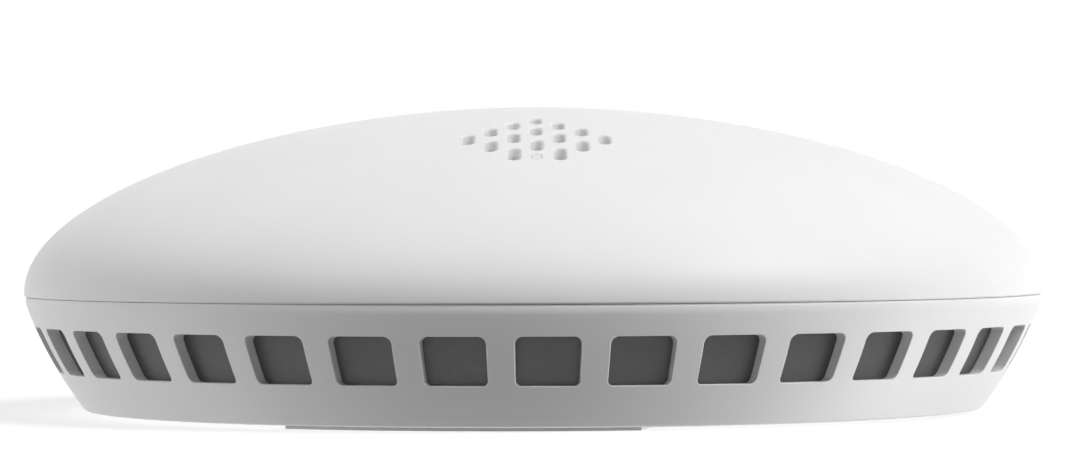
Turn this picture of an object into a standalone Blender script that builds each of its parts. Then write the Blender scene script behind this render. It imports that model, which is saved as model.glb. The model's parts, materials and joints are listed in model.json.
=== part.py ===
"""Round carbon monoxide alarm on a twist-lock wall bracket.

Metres, +Z up. The origin is the centre of the bracket's flat back, +Z runs along the alarm's
axis out of the wall, and the sounder grille faces -Y. Angles about Z are in degrees from +X.
"""

import math

import bmesh
import bpy
from mathutils import Matrix, Vector

MM = 0.001
FRONT = 270.0  # the angle of -Y, the side with the grille

# Gaps and mesh fineness
CLEARANCE = 0.3 * MM  # between pieces that touch or rest on each other
RUNNING_GAP = 0.35 * MM  # round pieces that move
EMBED = 0.5 * MM  # how far a boss is sunk into the wall that carries it
SHY = 0.1 * MM  # small step that keeps two joined faces from being level
SEGMENTS = 60  # of the large turned shells
SMALL_SEGMENTS = 16  # of the small turned pieces

# Dome cover
DOME_RADIUS = 66.0 * MM
DOME_RISE = 23.76 * MM  # rim plane to apex
DOME_CROWN = 33.0 * MM  # level Bezier handle at the apex
DOME_SHOULDER = 12.57 * MM  # upright Bezier handle at the rim
DOME_STEPS = 10
DOME_LIP = 0.55 * MM  # straight edge below the rim plane
DOME_LIP_ROUND = 0.2 * MM
DOME_OVERHANG = 0.06 * MM  # of the cover's rim beyond the top of the skirt
COVER_WALL = 2.0 * MM
SPIGOT_WALL = 1.2 * MM
SPIGOT_DEPTH = 1.8 * MM
SEAM_GAP = 0.42 * MM  # shadow line between cover and skirt

# Rear housing
SKIRT_TOP_RADIUS = DOME_RADIUS - DOME_OVERHANG
SKIRT_FOOT_RADIUS = 58.2 * MM
SKIRT_DEPTH = 14.27 * MM
SKIRT_LEAN = 0.62  # share of the taper that is straight, the rest grows with the square
SKIRT_STEPS = 5
SKIRT_WALL = 2.1 * MM
SKIRT_TOP_ROUND = 0.35 * MM
SKIRT_FOOT_ROUND = 0.8 * MM
FLOOR_WALL = 2.0 * MM
FOOT_GAP = 0.4 * MM  # foot of the skirt above the back of the bracket
FOOT_EDGE = 1.3 * MM  # wall left outside the groove for the grip tab

# Vent windows in the skirt
WINDOW_COUNT = 36
WINDOW_WIDTH = 7.75 * MM  # at the outer face
WINDOW_HEIGHT = 5.85 * MM
WINDOW_DROP = 3.35 * MM  # below the top of the skirt
WINDOW_TOP_ROUND = 0.9 * MM
WINDOW_FOOT_ROUND = 0.65 * MM
WINDOW_PHASE = 0.96  # degrees from the front to the middle of the nearest window
SCREEN_WALL = 0.6 * MM

# Sounder grille in the dome, a diamond of slots
GRILLE_ROWS = (1, 2, 3, 4, 3, 2)  # slots in each row, from the apex outwards
GRILLE_START = 26.2 * MM  # from the axis to the middle of the first row
GRILLE_ROW_PITCH = 3.45 * MM
GRILLE_COLUMN_PITCH = 2.77 * MM  # between slots of neighbouring rows, sideways
SLOT_WIDTH = 1.75 * MM
SLOT_LENGTH = 4.5 * MM
LED_RADIUS_OUT = 44.7 * MM  # of the indicator opening, from the axis
LED_SLOT_WIDTH = 1.3 * MM
LED_SLOT_LENGTH = 2.2 * MM

# Test button
BUTTON_RADIUS = 10.2 * MM
BUTTON_ROUND = 0.4 * MM
BUTTON_FLANGE = 2.0 * MM  # reach of the flange beyond the cap
BUTTON_FLANGE_WALL = 1.2 * MM
BUTTON_STEM_RADIUS = 2.6 * MM
BUTTON_TRAVEL = 0.8 * MM
COLLAR_WALL = 1.4 * MM
COLLAR_SPARE = 0.9 * MM  # of the collar below the pressed flange

# Wall bracket
BRACKET_RADIUS = 48.2 * MM  # at the tips of the bayonet lugs
BRACKET_PLATE = 2.6 * MM
BRACKET_REBATE = 0.4 * MM  # of the back edge
LUG_REACH = 2.2 * MM
LUG_WALL = 1.1 * MM
LUG_HALF_ANGLE = 6.0
LUG_ANGLES = (60.0, 180.0, 300.0)
LEDGE_ROOT_STEP = 0.3  # degrees that a ledge's root is narrower on each side
STOP_ANGLE = 2.4  # width of the stop at the end of each lug, degrees
STOP_GAP_ANGLE = 0.6
STOP_SHARE = 0.4  # of a stop's width that its lug runs into
PLATE_TURN = 0.25  # share of a facet
GRIP_WALL = 1.0 * MM
GRIP_START = -32.1  # degrees from the front
GRIP_END = 12.4
GRIP_TAPER = 3.0  # degrees over which the tab runs back to its root
SCREW_SLOT_RADIUS = 30.0 * MM
SCREW_SLOT_WIDTH = 4.0 * MM
SCREW_SLOT_LENGTH = 9.0 * MM
SCREW_SLOT_SHOULDER = 2.2 * MM  # of the pocket round each slot
SCREW_SLOT_POCKET = 1.2 * MM
TWIST_ANGLE = 15.0  # unlocking turn of the alarm, counterclockwise

# Activation slider, driven by a peg on the bracket
SLIDER_CIRCLE = 16.0 * MM
SLIDER_HALF_WIDTH = 2.9 * MM
SLIDER_HALF_ANGLE = 12.0
SLIDER_FLANGE = 1.6 * MM
SLIDER_FLANGE_ANGLE = 5.0
SLIDER_FLANGE_WALL = 1.0 * MM
PEG_RADIUS = 1.5 * MM
PEG_HEIGHT = 1.8 * MM
LEVER_RADIUS = 0.8 * MM
LEVER_SOCKET_RADIUS = 2.0 * MM
LEVER_SOCKET_HEIGHT = 2.0 * MM
LEVER_ENTRY = 2.0 * MM  # how far the lever reaches into the switch
SWITCH_HEIGHT = 3.4 * MM
SWITCH_WIDTH = 5.6 * MM
SWITCH_LENGTH = 10.0 * MM

# Circuit board and what fastens it
BOARD_THICKNESS = 1.6 * MM
BOARD_MARGIN = 8.0 * MM  # from the top of the skirt's inner face to the edge of the board
BOARD_SCREW_CIRCLE = 46.0 * MM
BOARD_SCREW_ANGLES = (48.0, 132.0, 252.0)
BOARD_BOSS_RADIUS = 3.0 * MM
BOARD_SCREW_RADIUS = 1.0 * MM
BOARD_SCREW_LENGTH = 7.0 * MM
BOARD_SCREW_HEAD_RADIUS = 2.3 * MM
BOARD_SCREW_HEAD = 1.4 * MM

# Cover posts and screws
POST_CIRCLE = 44.0 * MM
POST_ANGLES = (90.0, 210.0, 330.0)
POST_RADIUS = 3.3 * MM
COVER_BOSS_RADIUS = 4.6 * MM
COVER_BOSS_HEIGHT = 3.5 * MM
COVER_SCREW_RADIUS = 1.2 * MM
COVER_SCREW_LENGTH = 10.0 * MM
COVER_SCREW_HEAD_RADIUS = 2.9 * MM
COVER_SCREW_HEAD = 1.6 * MM
COVER_SCREW_SINK = 0.4 * MM  # head below the recess face

# CO sensor, hung under the board
SENSOR_PLACE = (-21.0 * MM, -27.0 * MM)
SENSOR_RADIUS = 10.0 * MM
SENSOR_HEIGHT = 5.0 * MM
SENSOR_FLOOR_GAP = 1.2 * MM
FILTER_RADIUS = 7.0 * MM
FILTER_HEIGHT = 0.9 * MM
FILTER_HOLE_RADIUS = 1.0 * MM

# Siren, standing on the board
SIREN_PIPE_GAP = 2.6 * MM  # between the horn and the light pipe beyond it
HORN_RADIUS = 13.5 * MM
HORN_HEIGHT = 9.5 * MM
HORN_WALL = 1.2 * MM
HORN_PORT_RADIUS = 2.2 * MM
HORN_LEDGE = 1.5 * MM
HORN_LEDGE_HEIGHT = 4.5 * MM
PIEZO_THICKNESS = 0.4 * MM
CERAMIC_RADIUS = 8.0 * MM
CERAMIC_THICKNESS = 0.3 * MM
BOND_GAP = 0.1 * MM  # between the disc and its ceramic
RETAINER_WALL = 1.4 * MM
CONTACT_RADIUS = 0.4 * MM
CONTACT_OFFSET = 9.3 * MM

# Lithium cell and its cradle
CELL_RADIUS = 7.25 * MM
CELL_LENGTH = 49.5 * MM
CELL_ROUND = 0.6 * MM
CELL_NUB_RADIUS = 2.7 * MM
CELL_NUB_LENGTH = 1.0 * MM
CELL_OUT = 22.5 * MM  # from the axis, towards the back
CRADLE_BASE = 1.2 * MM
CRADLE_LENGTH = 40.0 * MM
CRADLE_ARM_WALL = 1.2 * MM
CRADLE_ARM_LENGTH = 6.0 * MM
CRADLE_ARM_RISE = 3.0 * MM  # of the arms above the cell's axis
TAB_WIDTH = 4.0 * MM
TAB_THICKNESS = 0.4 * MM
TAB_RISE = 3.0 * MM
TAB_FOOT = 3.0 * MM

# Tact switch under the button, LED and light pipe
TACT_WIDTH = 6.2 * MM
TACT_HEIGHT = 3.6 * MM
TACT_BASE = 1.0 * MM
PLUNGER_RADIUS = 1.6 * MM
PLUNGER_RISE = 1.5 * MM
LED_RADIUS = 1.5 * MM
LED_HEIGHT = 4.2 * MM
PIPE_RADIUS = 1.6 * MM
PIPE_TIP_GAP = 0.15 * MM
PIPE_TIP_SINK = 0.5 * MM

# Small parts on the board
CHIP_HEIGHT = 1.2 * MM
CHIPS = (  # name, place, length, width
    ("microcontroller", (-25.0 * MM, -4.0 * MM), 7.0 * MM, 7.0 * MM),
    ("sensor_amplifier", (-24.0 * MM, -16.0 * MM), 5.0 * MM, 4.4 * MM),
)
COIL_PLACE = (24.0 * MM, -9.0 * MM)
COIL_RADIUS = 4.5 * MM
COIL_HEIGHT = 6.0 * MM
COIL_FLANGE = 0.9 * MM
COIL_WAIST = 0.7 * MM
CAPACITOR_PLACES = ((35.0 * MM, -5.0 * MM), (35.0 * MM, 5.0 * MM))
CAPACITOR_RADIUS = 3.15 * MM
CAPACITOR_HEIGHT = 8.0 * MM

# Pan-head screws: shares of the head's radius or height
HEAD_FLAT = 0.7
HEAD_RIM = 0.45
CROSS_REACH = 0.62
CROSS_ARM = 0.24
CROSS_FLOOR = 0.4

# Heights, all counted up from the back of the bracket
SKIRT_TOP_Z = FOOT_GAP + SKIRT_DEPTH
LIP_Z = SKIRT_TOP_Z + SEAM_GAP
RIM_Z = LIP_Z + DOME_LIP
APEX_Z = RIM_Z + DOME_RISE
RECESS_Z = BRACKET_PLATE + CLEARANCE  # ceiling of the bracket's recess
FLOOR_Z = RECESS_Z + FLOOR_WALL
GROOVE_Z = GRIP_WALL + CLEARANCE  # ceiling of the grip tab's groove
GROOVE_FLOOR_Z = GROOVE_Z + FLOOR_WALL
LUG_Z = BRACKET_PLATE - LUG_WALL
LEDGE_Z = LUG_Z - CLEARANCE  # top of the housing's bayonet ledges
FILTER_Z = FLOOR_Z + SENSOR_FLOOR_GAP
SENSOR_Z = FILTER_Z + FILTER_HEIGHT + CLEARANCE
BOARD_Z = SENSOR_Z + SENSOR_HEIGHT + CLEARANCE
BOARD_TOP_Z = BOARD_Z + BOARD_THICKNESS
SEAT_Z = BOARD_TOP_Z + CLEARANCE  # where the parts on the board stand
COVER_BOSS_Z = FLOOR_Z + COVER_BOSS_HEIGHT
COVER_SCREW_Z = RECESS_Z + COVER_SCREW_SINK
COVER_SEAT_Z = COVER_SCREW_Z + COVER_SCREW_HEAD + CLEARANCE
CELL_Z = SEAT_Z + CRADLE_BASE + CELL_RADIUS  # the cradle's trough is sunk into its base
TACT_TOP_Z = SEAT_Z + TACT_HEIGHT
WINDOW_TOP_Z = SKIRT_TOP_Z - WINDOW_DROP
WINDOW_FOOT_Z = WINDOW_TOP_Z - WINDOW_HEIGHT

# Radii that follow from those above
RECESS_RADIUS = BRACKET_RADIUS + RUNNING_GAP
PLATE_RADIUS = BRACKET_RADIUS - LUG_REACH
LEDGE_RADIUS = PLATE_RADIUS + RUNNING_GAP
GROOVE_RADIUS = SKIRT_FOOT_RADIUS - FOOT_EDGE
GRIP_RADIUS = GROOVE_RADIUS - RUNNING_GAP
BOARD_RADIUS = SKIRT_TOP_RADIUS - SKIRT_WALL - BOARD_MARGIN
SIREN_OUT = LED_RADIUS_OUT - PIPE_RADIUS - SIREN_PIPE_GAP - HORN_RADIUS
BUTTON_HOLE_RADIUS = BUTTON_RADIUS + RUNNING_GAP
FLANGE_RADIUS = BUTTON_RADIUS + BUTTON_FLANGE
COLLAR_RADIUS = FLANGE_RADIUS + RUNNING_GAP

PARTS = "carbon_monoxide_alarm"
CUTTERS = "cutters"

WHITE_PLASTIC = ((0.86, 0.86, 0.86), 0.42, 0.0)
DARK_MESH = ((0.045, 0.045, 0.045), 0.8, 0.0)
BLACK_PLASTIC = ((0.03, 0.03, 0.03), 0.5, 0.0)
GREY_PLASTIC = ((0.25, 0.25, 0.26), 0.5, 0.0)
GREEN_BOARD = ((0.02, 0.16, 0.07), 0.4, 0.0)
STEEL = ((0.62, 0.62, 0.62), 0.3, 1.0)
NICKEL = ((0.66, 0.63, 0.58), 0.25, 1.0)
BRASS = ((0.78, 0.57, 0.25), 0.3, 1.0)
CERAMIC = ((0.72, 0.7, 0.64), 0.6, 0.0)
COPPER = ((0.72, 0.33, 0.16), 0.35, 1.0)
CLEAR_PLASTIC = ((0.82, 0.84, 0.84), 0.1, 0.0)
GREEN_LENS = ((0.2, 0.6, 0.3), 0.15, 0.0)
BLUE_SLEEVE = ((0.05, 0.12, 0.35), 0.4, 0.0)


def clear_scene():
    for thing in list(bpy.data.objects):
        bpy.data.objects.remove(thing, do_unlink=True)


def make_collection(name):
    made = bpy.data.collections.new(name)
    bpy.context.scene.collection.children.link(made)
    return made


def make_material(name, finish):
    colour, roughness, metallic = finish
    material = bpy.data.materials.new(name)
    material.use_nodes = True
    shader = material.node_tree.nodes["Principled BSDF"]
    shader.inputs["Base Color"].default_value = (*colour, 1.0)
    shader.inputs["Roughness"].default_value = roughness
    shader.inputs["Metallic"].default_value = metallic
    return material


def polar(radius, angle):
    turn = math.radians(angle)
    return radius * math.cos(turn), radius * math.sin(turn)


def arc(centre, radius, start, end, steps):
    """Points of an arc about a centre, angles in degrees."""
    points = []
    for i in range(steps + 1):
        x, y = polar(radius, start + (end - start) * i / steps)
        points.append((centre[0] + x, centre[1] + y))
    return points


def rounded_box(width, height, top_round, foot_round, steps=2):
    """Outline about the origin, counterclockwise, with its own radii above and below."""
    x, y = width / 2, height / 2
    corners = (
        ((x - foot_round, foot_round - y), foot_round, -90, 0),
        ((x - top_round, y - top_round), top_round, 0, 90),
        ((top_round - x, y - top_round), top_round, 90, 180),
        ((foot_round - x, foot_round - y), foot_round, 180, 270),
    )
    return [point for corner in corners for point in arc(*corner, steps)]


def stadium(width, length, along_x=False, steps=4):
    """Outline of a slot with round ends about the origin, its length along Y or X."""
    radius = width / 2
    reach = length / 2 - radius
    points = arc((0.0, reach), radius, 0, 180, steps) + arc((0.0, -reach), radius, 180, 360, steps)
    return [(-y, x) for x, y in points] if along_x else points


def sector(inner, outer, start, end, steps=4):
    """Outline of a ring sector between two radii and two angles."""
    return arc((0.0, 0.0), outer, start, end, steps) + arc((0.0, 0.0), inner, end, start, steps)


def shifted(outline, place):
    return [(x + place[0], y + place[1]) for x, y in outline]


def add_prism(bm, outline, low, high):
    """A counterclockwise outline, extruded from one height to another."""
    face = bm.faces.new([bm.verts.new((x, y, low)) for x, y in outline])
    raised = bmesh.ops.extrude_face_region(bm, geom=[face])["geom"]
    lifted = [item for item in raised if isinstance(item, bmesh.types.BMVert)]
    bmesh.ops.translate(bm, verts=lifted, vec=(0.0, 0.0, high - low))


def add_radial_cut(bm, outline, middle, angle, inner, outer):
    """An outline across a wall at a radius and height, run straight towards the axis."""
    radius, height = middle
    scale = outer / radius
    turn = Matrix.Rotation(math.radians(angle), 4, "Z")
    corners = []
    for across, up in outline:
        x, y = polar(outer, math.degrees(across * scale / outer))
        corners.append(bm.verts.new(turn @ Vector((x, y, height + up))))
    face = bm.faces.new(corners)
    pushed = bmesh.ops.extrude_face_region(bm, geom=[face])["geom"]
    moved = [item for item in pushed if isinstance(item, bmesh.types.BMVert)]
    bmesh.ops.scale(bm, verts=moved, vec=(inner / outer, inner / outer, 1.0))


def add_cylinder(bm, radius, low, high, place=(0.0, 0.0), segments=SMALL_SEGMENTS):
    middle = Matrix.Translation((place[0], place[1], (low + high) / 2))
    bmesh.ops.create_cone(
        bm, cap_ends=True, segments=segments, radius1=radius, radius2=radius,
        depth=high - low, matrix=middle,
    )


def add_box(bm, size, centre):
    placed = Matrix.LocRotScale(Vector(centre), None, Vector(size))
    bmesh.ops.create_cube(bm, size=1.0, matrix=placed)


class Alarm:
    """Keeps the collections and makes the named pieces."""

    def __init__(self):
        clear_scene()
        self.parts = make_collection(PARTS)
        self.cutters = make_collection(CUTTERS)
        self.parent = None

    def add_axis(self, name, parent=None):
        """An empty on a joint's axis, which the pieces made after it are parented to."""
        empty = bpy.data.objects.new(name, None)
        empty.parent = parent
        self.parts.objects.link(empty)
        self.parent = empty
        return empty

    def add_piece(self, name, mesh, finish, location=(0.0, 0.0, 0.0)):
        piece = bpy.data.objects.new(name, mesh)
        piece.location = location
        piece.parent = self.parent
        mesh.materials.append(make_material(name + "_finish", finish))
        self.parts.objects.link(piece)
        return piece

    def built(self, name, build, finish, location=(0.0, 0.0, 0.0)):
        """A piece from a function that fills a bmesh."""
        return self.add_piece(name, filled_mesh(name, build), finish, location)

    def turned(self, name, profile, finish, location=(0.0, 0.0, 0.0), closed=False,
               segments=SMALL_SEGMENTS):
        """A profile of (radius, height) points, spun about Z by a Screw modifier.

        An open profile runs from the axis at the top, down its outer side, back to the axis.
        """
        mesh = bpy.data.meshes.new(name)
        edges = [(i, i + 1) for i in range(len(profile) - 1)]
        if closed:
            edges.append((len(profile) - 1, 0))
        mesh.from_pydata([(radius, 0.0, height) for radius, height in profile], edges, [])
        piece = self.add_piece(name, mesh, finish, location)
        spin = piece.modifiers.new("spin", "SCREW")
        spin.angle = math.tau
        spin.steps = segments
        spin.render_steps = segments
        spin.use_merge_vertices = True
        spin.merge_threshold = 0.00001
        return piece

    def combine(self, piece, operation, build):
        """Joins to a piece, or cuts from it, the solids that a function fills a bmesh with."""
        name = f"{piece.name}_{operation.lower()}_{len(piece.modifiers)}"
        tool = bpy.data.objects.new(name, filled_mesh(name, build))
        tool.location = piece.location
        tool.rotation_euler = piece.rotation_euler
        tool.parent = piece.parent
        tool.hide_render = True
        tool.display_type = "WIRE"
        self.cutters.objects.link(tool)
        step = piece.modifiers.new(name, "BOOLEAN")
        step.operation = operation
        step.solver = "EXACT"
        step.object = tool


def filled_mesh(name, build):
    bm = bmesh.new()
    build(bm)
    bmesh.ops.recalc_face_normals(bm, faces=bm.faces)
    mesh = bpy.data.meshes.new(name)
    bm.to_mesh(mesh)
    bm.free()
    return mesh


# ---- Outer form ----


def dome_point(t):
    """Radius, height and outward normal of the dome at a Bezier parameter, apex to rim."""
    s = 1.0 - t
    handles = (
        Vector((0.0, APEX_Z)),
        Vector((DOME_CROWN, APEX_Z)),
        Vector((DOME_RADIUS, RIM_Z + DOME_SHOULDER)),
        Vector((DOME_RADIUS, RIM_Z)),
    )
    a, b, c, d = handles
    point = s**3 * a + 3 * s * s * t * b + 3 * s * t * t * c + t**3 * d
    slope = s * s * (b - a) + 2 * s * t * (c - b) + t * t * (d - c)
    return point, Vector((-slope.y, slope.x)).normalized()


def dome_parameter(radius, depth=0.0):
    """The Bezier parameter where the dome, or a surface under it, has this radius."""
    low, high = 0.0, 1.0
    for _ in range(40):
        middle = (low + high) / 2
        point, normal = dome_point(middle)
        if point.x - depth * normal.x < radius:
            low = middle
        else:
            high = middle
    return low


def dome_height(radius, depth=0.0):
    """Height of the dome's outer face, or of a face under it, at a radius."""
    point, normal = dome_point(dome_parameter(radius, depth))
    return point.y - depth * normal.y


def dome_run(start, end, depth=0.0, steps=DOME_STEPS):
    """Profile points of the dome between two radii, at a depth below its outer face."""
    first = dome_parameter(start, depth)
    last = dome_parameter(end, depth)
    points = []
    for i in range(steps + 1):
        point, normal = dome_point(first + (last - first) * i / steps)
        points.append((point.x - depth * normal.x, point.y - depth * normal.y))
    return points


def skirt_radius(height):
    """Outer radius of the skirt at a height."""
    t = (SKIRT_TOP_Z - height) / SKIRT_DEPTH
    taper = SKIRT_TOP_RADIUS - SKIRT_FOOT_RADIUS
    return SKIRT_TOP_RADIUS - taper * (SKIRT_LEAN * t + (1.0 - SKIRT_LEAN) * t * t)


def skirt_run(high, low, inset=0.0, steps=SKIRT_STEPS):
    """Profile points down the skirt between two heights, at an inset from its outer face."""
    points = []
    for i in range(steps + 1):
        height = high + (low - high) * i / steps
        points.append((skirt_radius(height) - inset, height))
    return points


# ---- Bracket ----


def add_back_layer(bm):
    """The plate's back with the finger tab, whose end runs back to the plate in a taper."""
    back_radius = PLATE_RADIUS - BRACKET_REBATE
    start, end = FRONT + GRIP_START, FRONT + GRIP_END
    tip = polar((GRIP_RADIUS + PLATE_RADIUS) / 2, end + GRIP_TAPER)
    outline = arc((0.0, 0.0), GRIP_RADIUS, start, end, 12) + [tip]
    outline += arc((0.0, 0.0), back_radius, end + GRIP_TAPER, start + 360.0, SEGMENTS)
    add_prism(bm, outline, 0.0, GRIP_WALL)


def add_plate(bm):
    """The round plate, turned so that no side of a lug or a stop runs through its corners."""
    turn = PLATE_TURN * 360.0 / SEGMENTS
    outline = arc((0.0, 0.0), PLATE_RADIUS, turn, turn + 360.0, SEGMENTS)
    add_prism(bm, outline[:-1], GRIP_WALL / 2, BRACKET_PLATE)


def add_bayonet_lugs(bm):
    root = PLATE_RADIUS - LUG_REACH
    for angle in LUG_ANGLES:
        start = angle - LUG_HALF_ANGLE - STOP_GAP_ANGLE - STOP_ANGLE * STOP_SHARE
        lug = sector(root, BRACKET_RADIUS, start, angle + LUG_HALF_ANGLE)
        add_prism(bm, lug, LUG_Z, BRACKET_PLATE - SHY)


def add_bayonet_stops(bm):
    root = PLATE_RADIUS - LUG_REACH / 2
    for angle in LUG_ANGLES:
        end = angle - LUG_HALF_ANGLE - STOP_GAP_ANGLE
        stop = sector(root, BRACKET_RADIUS - SHY, end - STOP_ANGLE, end)
        add_prism(bm, stop, SHY, BRACKET_PLATE - 2 * SHY)


def add_switch_peg(bm):
    peg_foot = BRACKET_PLATE - EMBED
    add_cylinder(bm, PEG_RADIUS, peg_foot, BRACKET_PLATE + PEG_HEIGHT, (SLIDER_CIRCLE, 0.0))


def add_at_screw_places(bm, shoulder, low, high):
    outline = stadium(SCREW_SLOT_WIDTH + shoulder, SCREW_SLOT_LENGTH + shoulder, along_x=True)
    for angle in range(0, 360, 90):
        add_prism(bm, shifted(outline, polar(SCREW_SLOT_RADIUS, angle)), low, high)


def cut_screw_slots(bm):
    add_at_screw_places(bm, 0.0, -EMBED, BRACKET_PLATE + EMBED)


def cut_screw_pockets(bm):
    pocket_floor = BRACKET_PLATE - SCREW_SLOT_POCKET
    add_at_screw_places(bm, 2 * SCREW_SLOT_SHOULDER, pocket_floor, BRACKET_PLATE + EMBED)


def make_bracket(alarm):
    bracket = alarm.built("mounting_bracket", add_back_layer, WHITE_PLASTIC)
    for add in (add_plate, add_bayonet_lugs, add_bayonet_stops, add_switch_peg):
        alarm.combine(bracket, "UNION", add)
    for cut in (cut_screw_pockets, cut_screw_slots):
        alarm.combine(bracket, "DIFFERENCE", cut)


# ---- Rear housing and its lining ----


def housing_profile():
    groove_wall = RECESS_RADIUS + FLOOR_WALL
    inner_foot = skirt_radius(GROOVE_FLOOR_Z) - SKIRT_WALL
    foot_round_z = FOOT_GAP + SKIRT_FOOT_ROUND
    foot_radius = skirt_radius(foot_round_z)
    foot_centre = (foot_radius - SKIRT_FOOT_ROUND, foot_round_z)
    inner_run = skirt_run(GROOVE_FLOOR_Z, SKIRT_TOP_Z, SKIRT_WALL, SKIRT_STEPS // 2)
    outer_run = skirt_run(SKIRT_TOP_Z - SKIRT_TOP_ROUND, foot_round_z)
    return [
        (0.0, FLOOR_Z),
        (groove_wall, FLOOR_Z),
        (groove_wall, GROOVE_FLOOR_Z),
        (inner_foot, GROOVE_FLOOR_Z),
        *inner_run[1:],
        (SKIRT_TOP_RADIUS - SKIRT_TOP_ROUND, SKIRT_TOP_Z),
        *outer_run,
        *arc(foot_centre, SKIRT_FOOT_ROUND, 0, -90, 3)[1:],
        (GROOVE_RADIUS, FOOT_GAP),
        (GROOVE_RADIUS, GROOVE_Z),
        (RECESS_RADIUS, GROOVE_Z),
        (RECESS_RADIUS, RECESS_Z),
        (0.0, RECESS_Z),
    ]


def add_cover_bosses(bm):
    for angle in POST_ANGLES:
        place = polar(POST_CIRCLE, angle)
        add_cylinder(bm, COVER_BOSS_RADIUS, FLOOR_Z - EMBED, COVER_BOSS_Z, place)


def add_board_bosses(bm):
    for angle in BOARD_SCREW_ANGLES:
        place = polar(BOARD_SCREW_CIRCLE, angle)
        add_cylinder(bm, BOARD_BOSS_RADIUS, FLOOR_Z - EMBED, BOARD_Z - CLEARANCE, place)


def add_bayonet_ledges(bm):
    """The ledges that pass behind the bracket's lugs."""
    end = RECESS_RADIUS + FLOOR_WALL
    for angle in LUG_ANGLES:
        start, stop = angle - LUG_HALF_ANGLE, angle + LUG_HALF_ANGLE
        add_prism(bm, sector(LEDGE_RADIUS, end, start, stop), FOOT_GAP, LEDGE_Z)


def add_ledge_roots(bm):
    """Blocks that carry the ledges, up into the groove's ceiling."""
    inner, outer = RECESS_RADIUS + CLEARANCE, RECESS_RADIUS + FLOOR_WALL - SHY
    reach = LUG_HALF_ANGLE - LEDGE_ROOT_STEP
    for angle in LUG_ANGLES:
        outline = sector(inner, outer, angle - reach, angle + reach)
        add_prism(bm, outline, FOOT_GAP + SHY, GROOVE_Z + EMBED)


def cut_windows(bm):
    outline = rounded_box(WINDOW_WIDTH, WINDOW_HEIGHT, WINDOW_TOP_ROUND, WINDOW_FOOT_ROUND)
    height = (WINDOW_TOP_Z + WINDOW_FOOT_Z) / 2
    middle = (skirt_radius(height), height)
    inner = skirt_radius(WINDOW_FOOT_Z) - 2 * SKIRT_WALL
    outer = SKIRT_TOP_RADIUS + SKIRT_WALL
    for i in range(WINDOW_COUNT):
        angle = FRONT + WINDOW_PHASE + 360.0 * i / WINDOW_COUNT
        add_radial_cut(bm, outline, middle, angle, inner, outer)


def cut_cover_screw_heads(bm):
    radius = COVER_SCREW_HEAD_RADIUS + CLEARANCE
    for angle in POST_ANGLES:
        add_cylinder(bm, radius, RECESS_Z - EMBED, COVER_SEAT_Z, polar(POST_CIRCLE, angle))


def cut_cover_screw_shanks(bm):
    radius = COVER_SCREW_RADIUS + CLEARANCE
    for angle in POST_ANGLES:
        place = polar(POST_CIRCLE, angle)
        add_cylinder(bm, radius, COVER_SEAT_Z - EMBED, COVER_BOSS_Z + EMBED, place)


def cut_board_pilots(bm):
    radius = BOARD_SCREW_RADIUS + CLEARANCE
    foot = SEAT_Z - BOARD_SCREW_LENGTH - EMBED
    for angle in BOARD_SCREW_ANGLES:
        add_cylinder(bm, radius, foot, BOARD_Z + EMBED, polar(BOARD_SCREW_CIRCLE, angle))


def cut_slider_track(bm):
    """The arc that the activation slider runs in as the alarm turns."""
    gap_angle = math.degrees(RUNNING_GAP / SLIDER_CIRCLE)
    inner = SLIDER_CIRCLE - SLIDER_HALF_WIDTH - RUNNING_GAP
    outer = SLIDER_CIRCLE + SLIDER_HALF_WIDTH + RUNNING_GAP
    end = SLIDER_HALF_ANGLE + gap_angle
    track = sector(inner, outer, -TWIST_ANGLE - end, end, 8)
    add_prism(bm, track, RECESS_Z - EMBED, FLOOR_Z + EMBED)


def make_housing(alarm):
    housing = alarm.turned(
        "rear_housing", housing_profile(), WHITE_PLASTIC, segments=SEGMENTS
    )
    for add in (add_cover_bosses, add_board_bosses, add_bayonet_ledges, add_ledge_roots):
        alarm.combine(housing, "UNION", add)
    cuts = (
        cut_windows, cut_cover_screw_heads, cut_cover_screw_shanks, cut_board_pilots,
        cut_slider_track,
    )
    for cut in cuts:
        alarm.combine(housing, "DIFFERENCE", cut)


def make_insect_screen(alarm):
    """The dark lining that stands behind the windows, between the floor and the board."""
    low, high = GROOVE_FLOOR_Z + CLEARANCE, BOARD_Z - CLEARANCE
    inset = SKIRT_WALL + CLEARANCE
    outer = skirt_run(high, low, inset, SKIRT_STEPS // 2)
    inner = skirt_run(low, high, inset + SCREEN_WALL, SKIRT_STEPS // 2)
    alarm.turned("insect_screen", outer + inner, DARK_MESH, closed=True, segments=SEGMENTS)


# ---- Dome cover and test button ----


def button_flange_foot():
    return dome_height(COLLAR_RADIUS, COVER_WALL) - CLEARANCE - BUTTON_FLANGE_WALL


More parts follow.
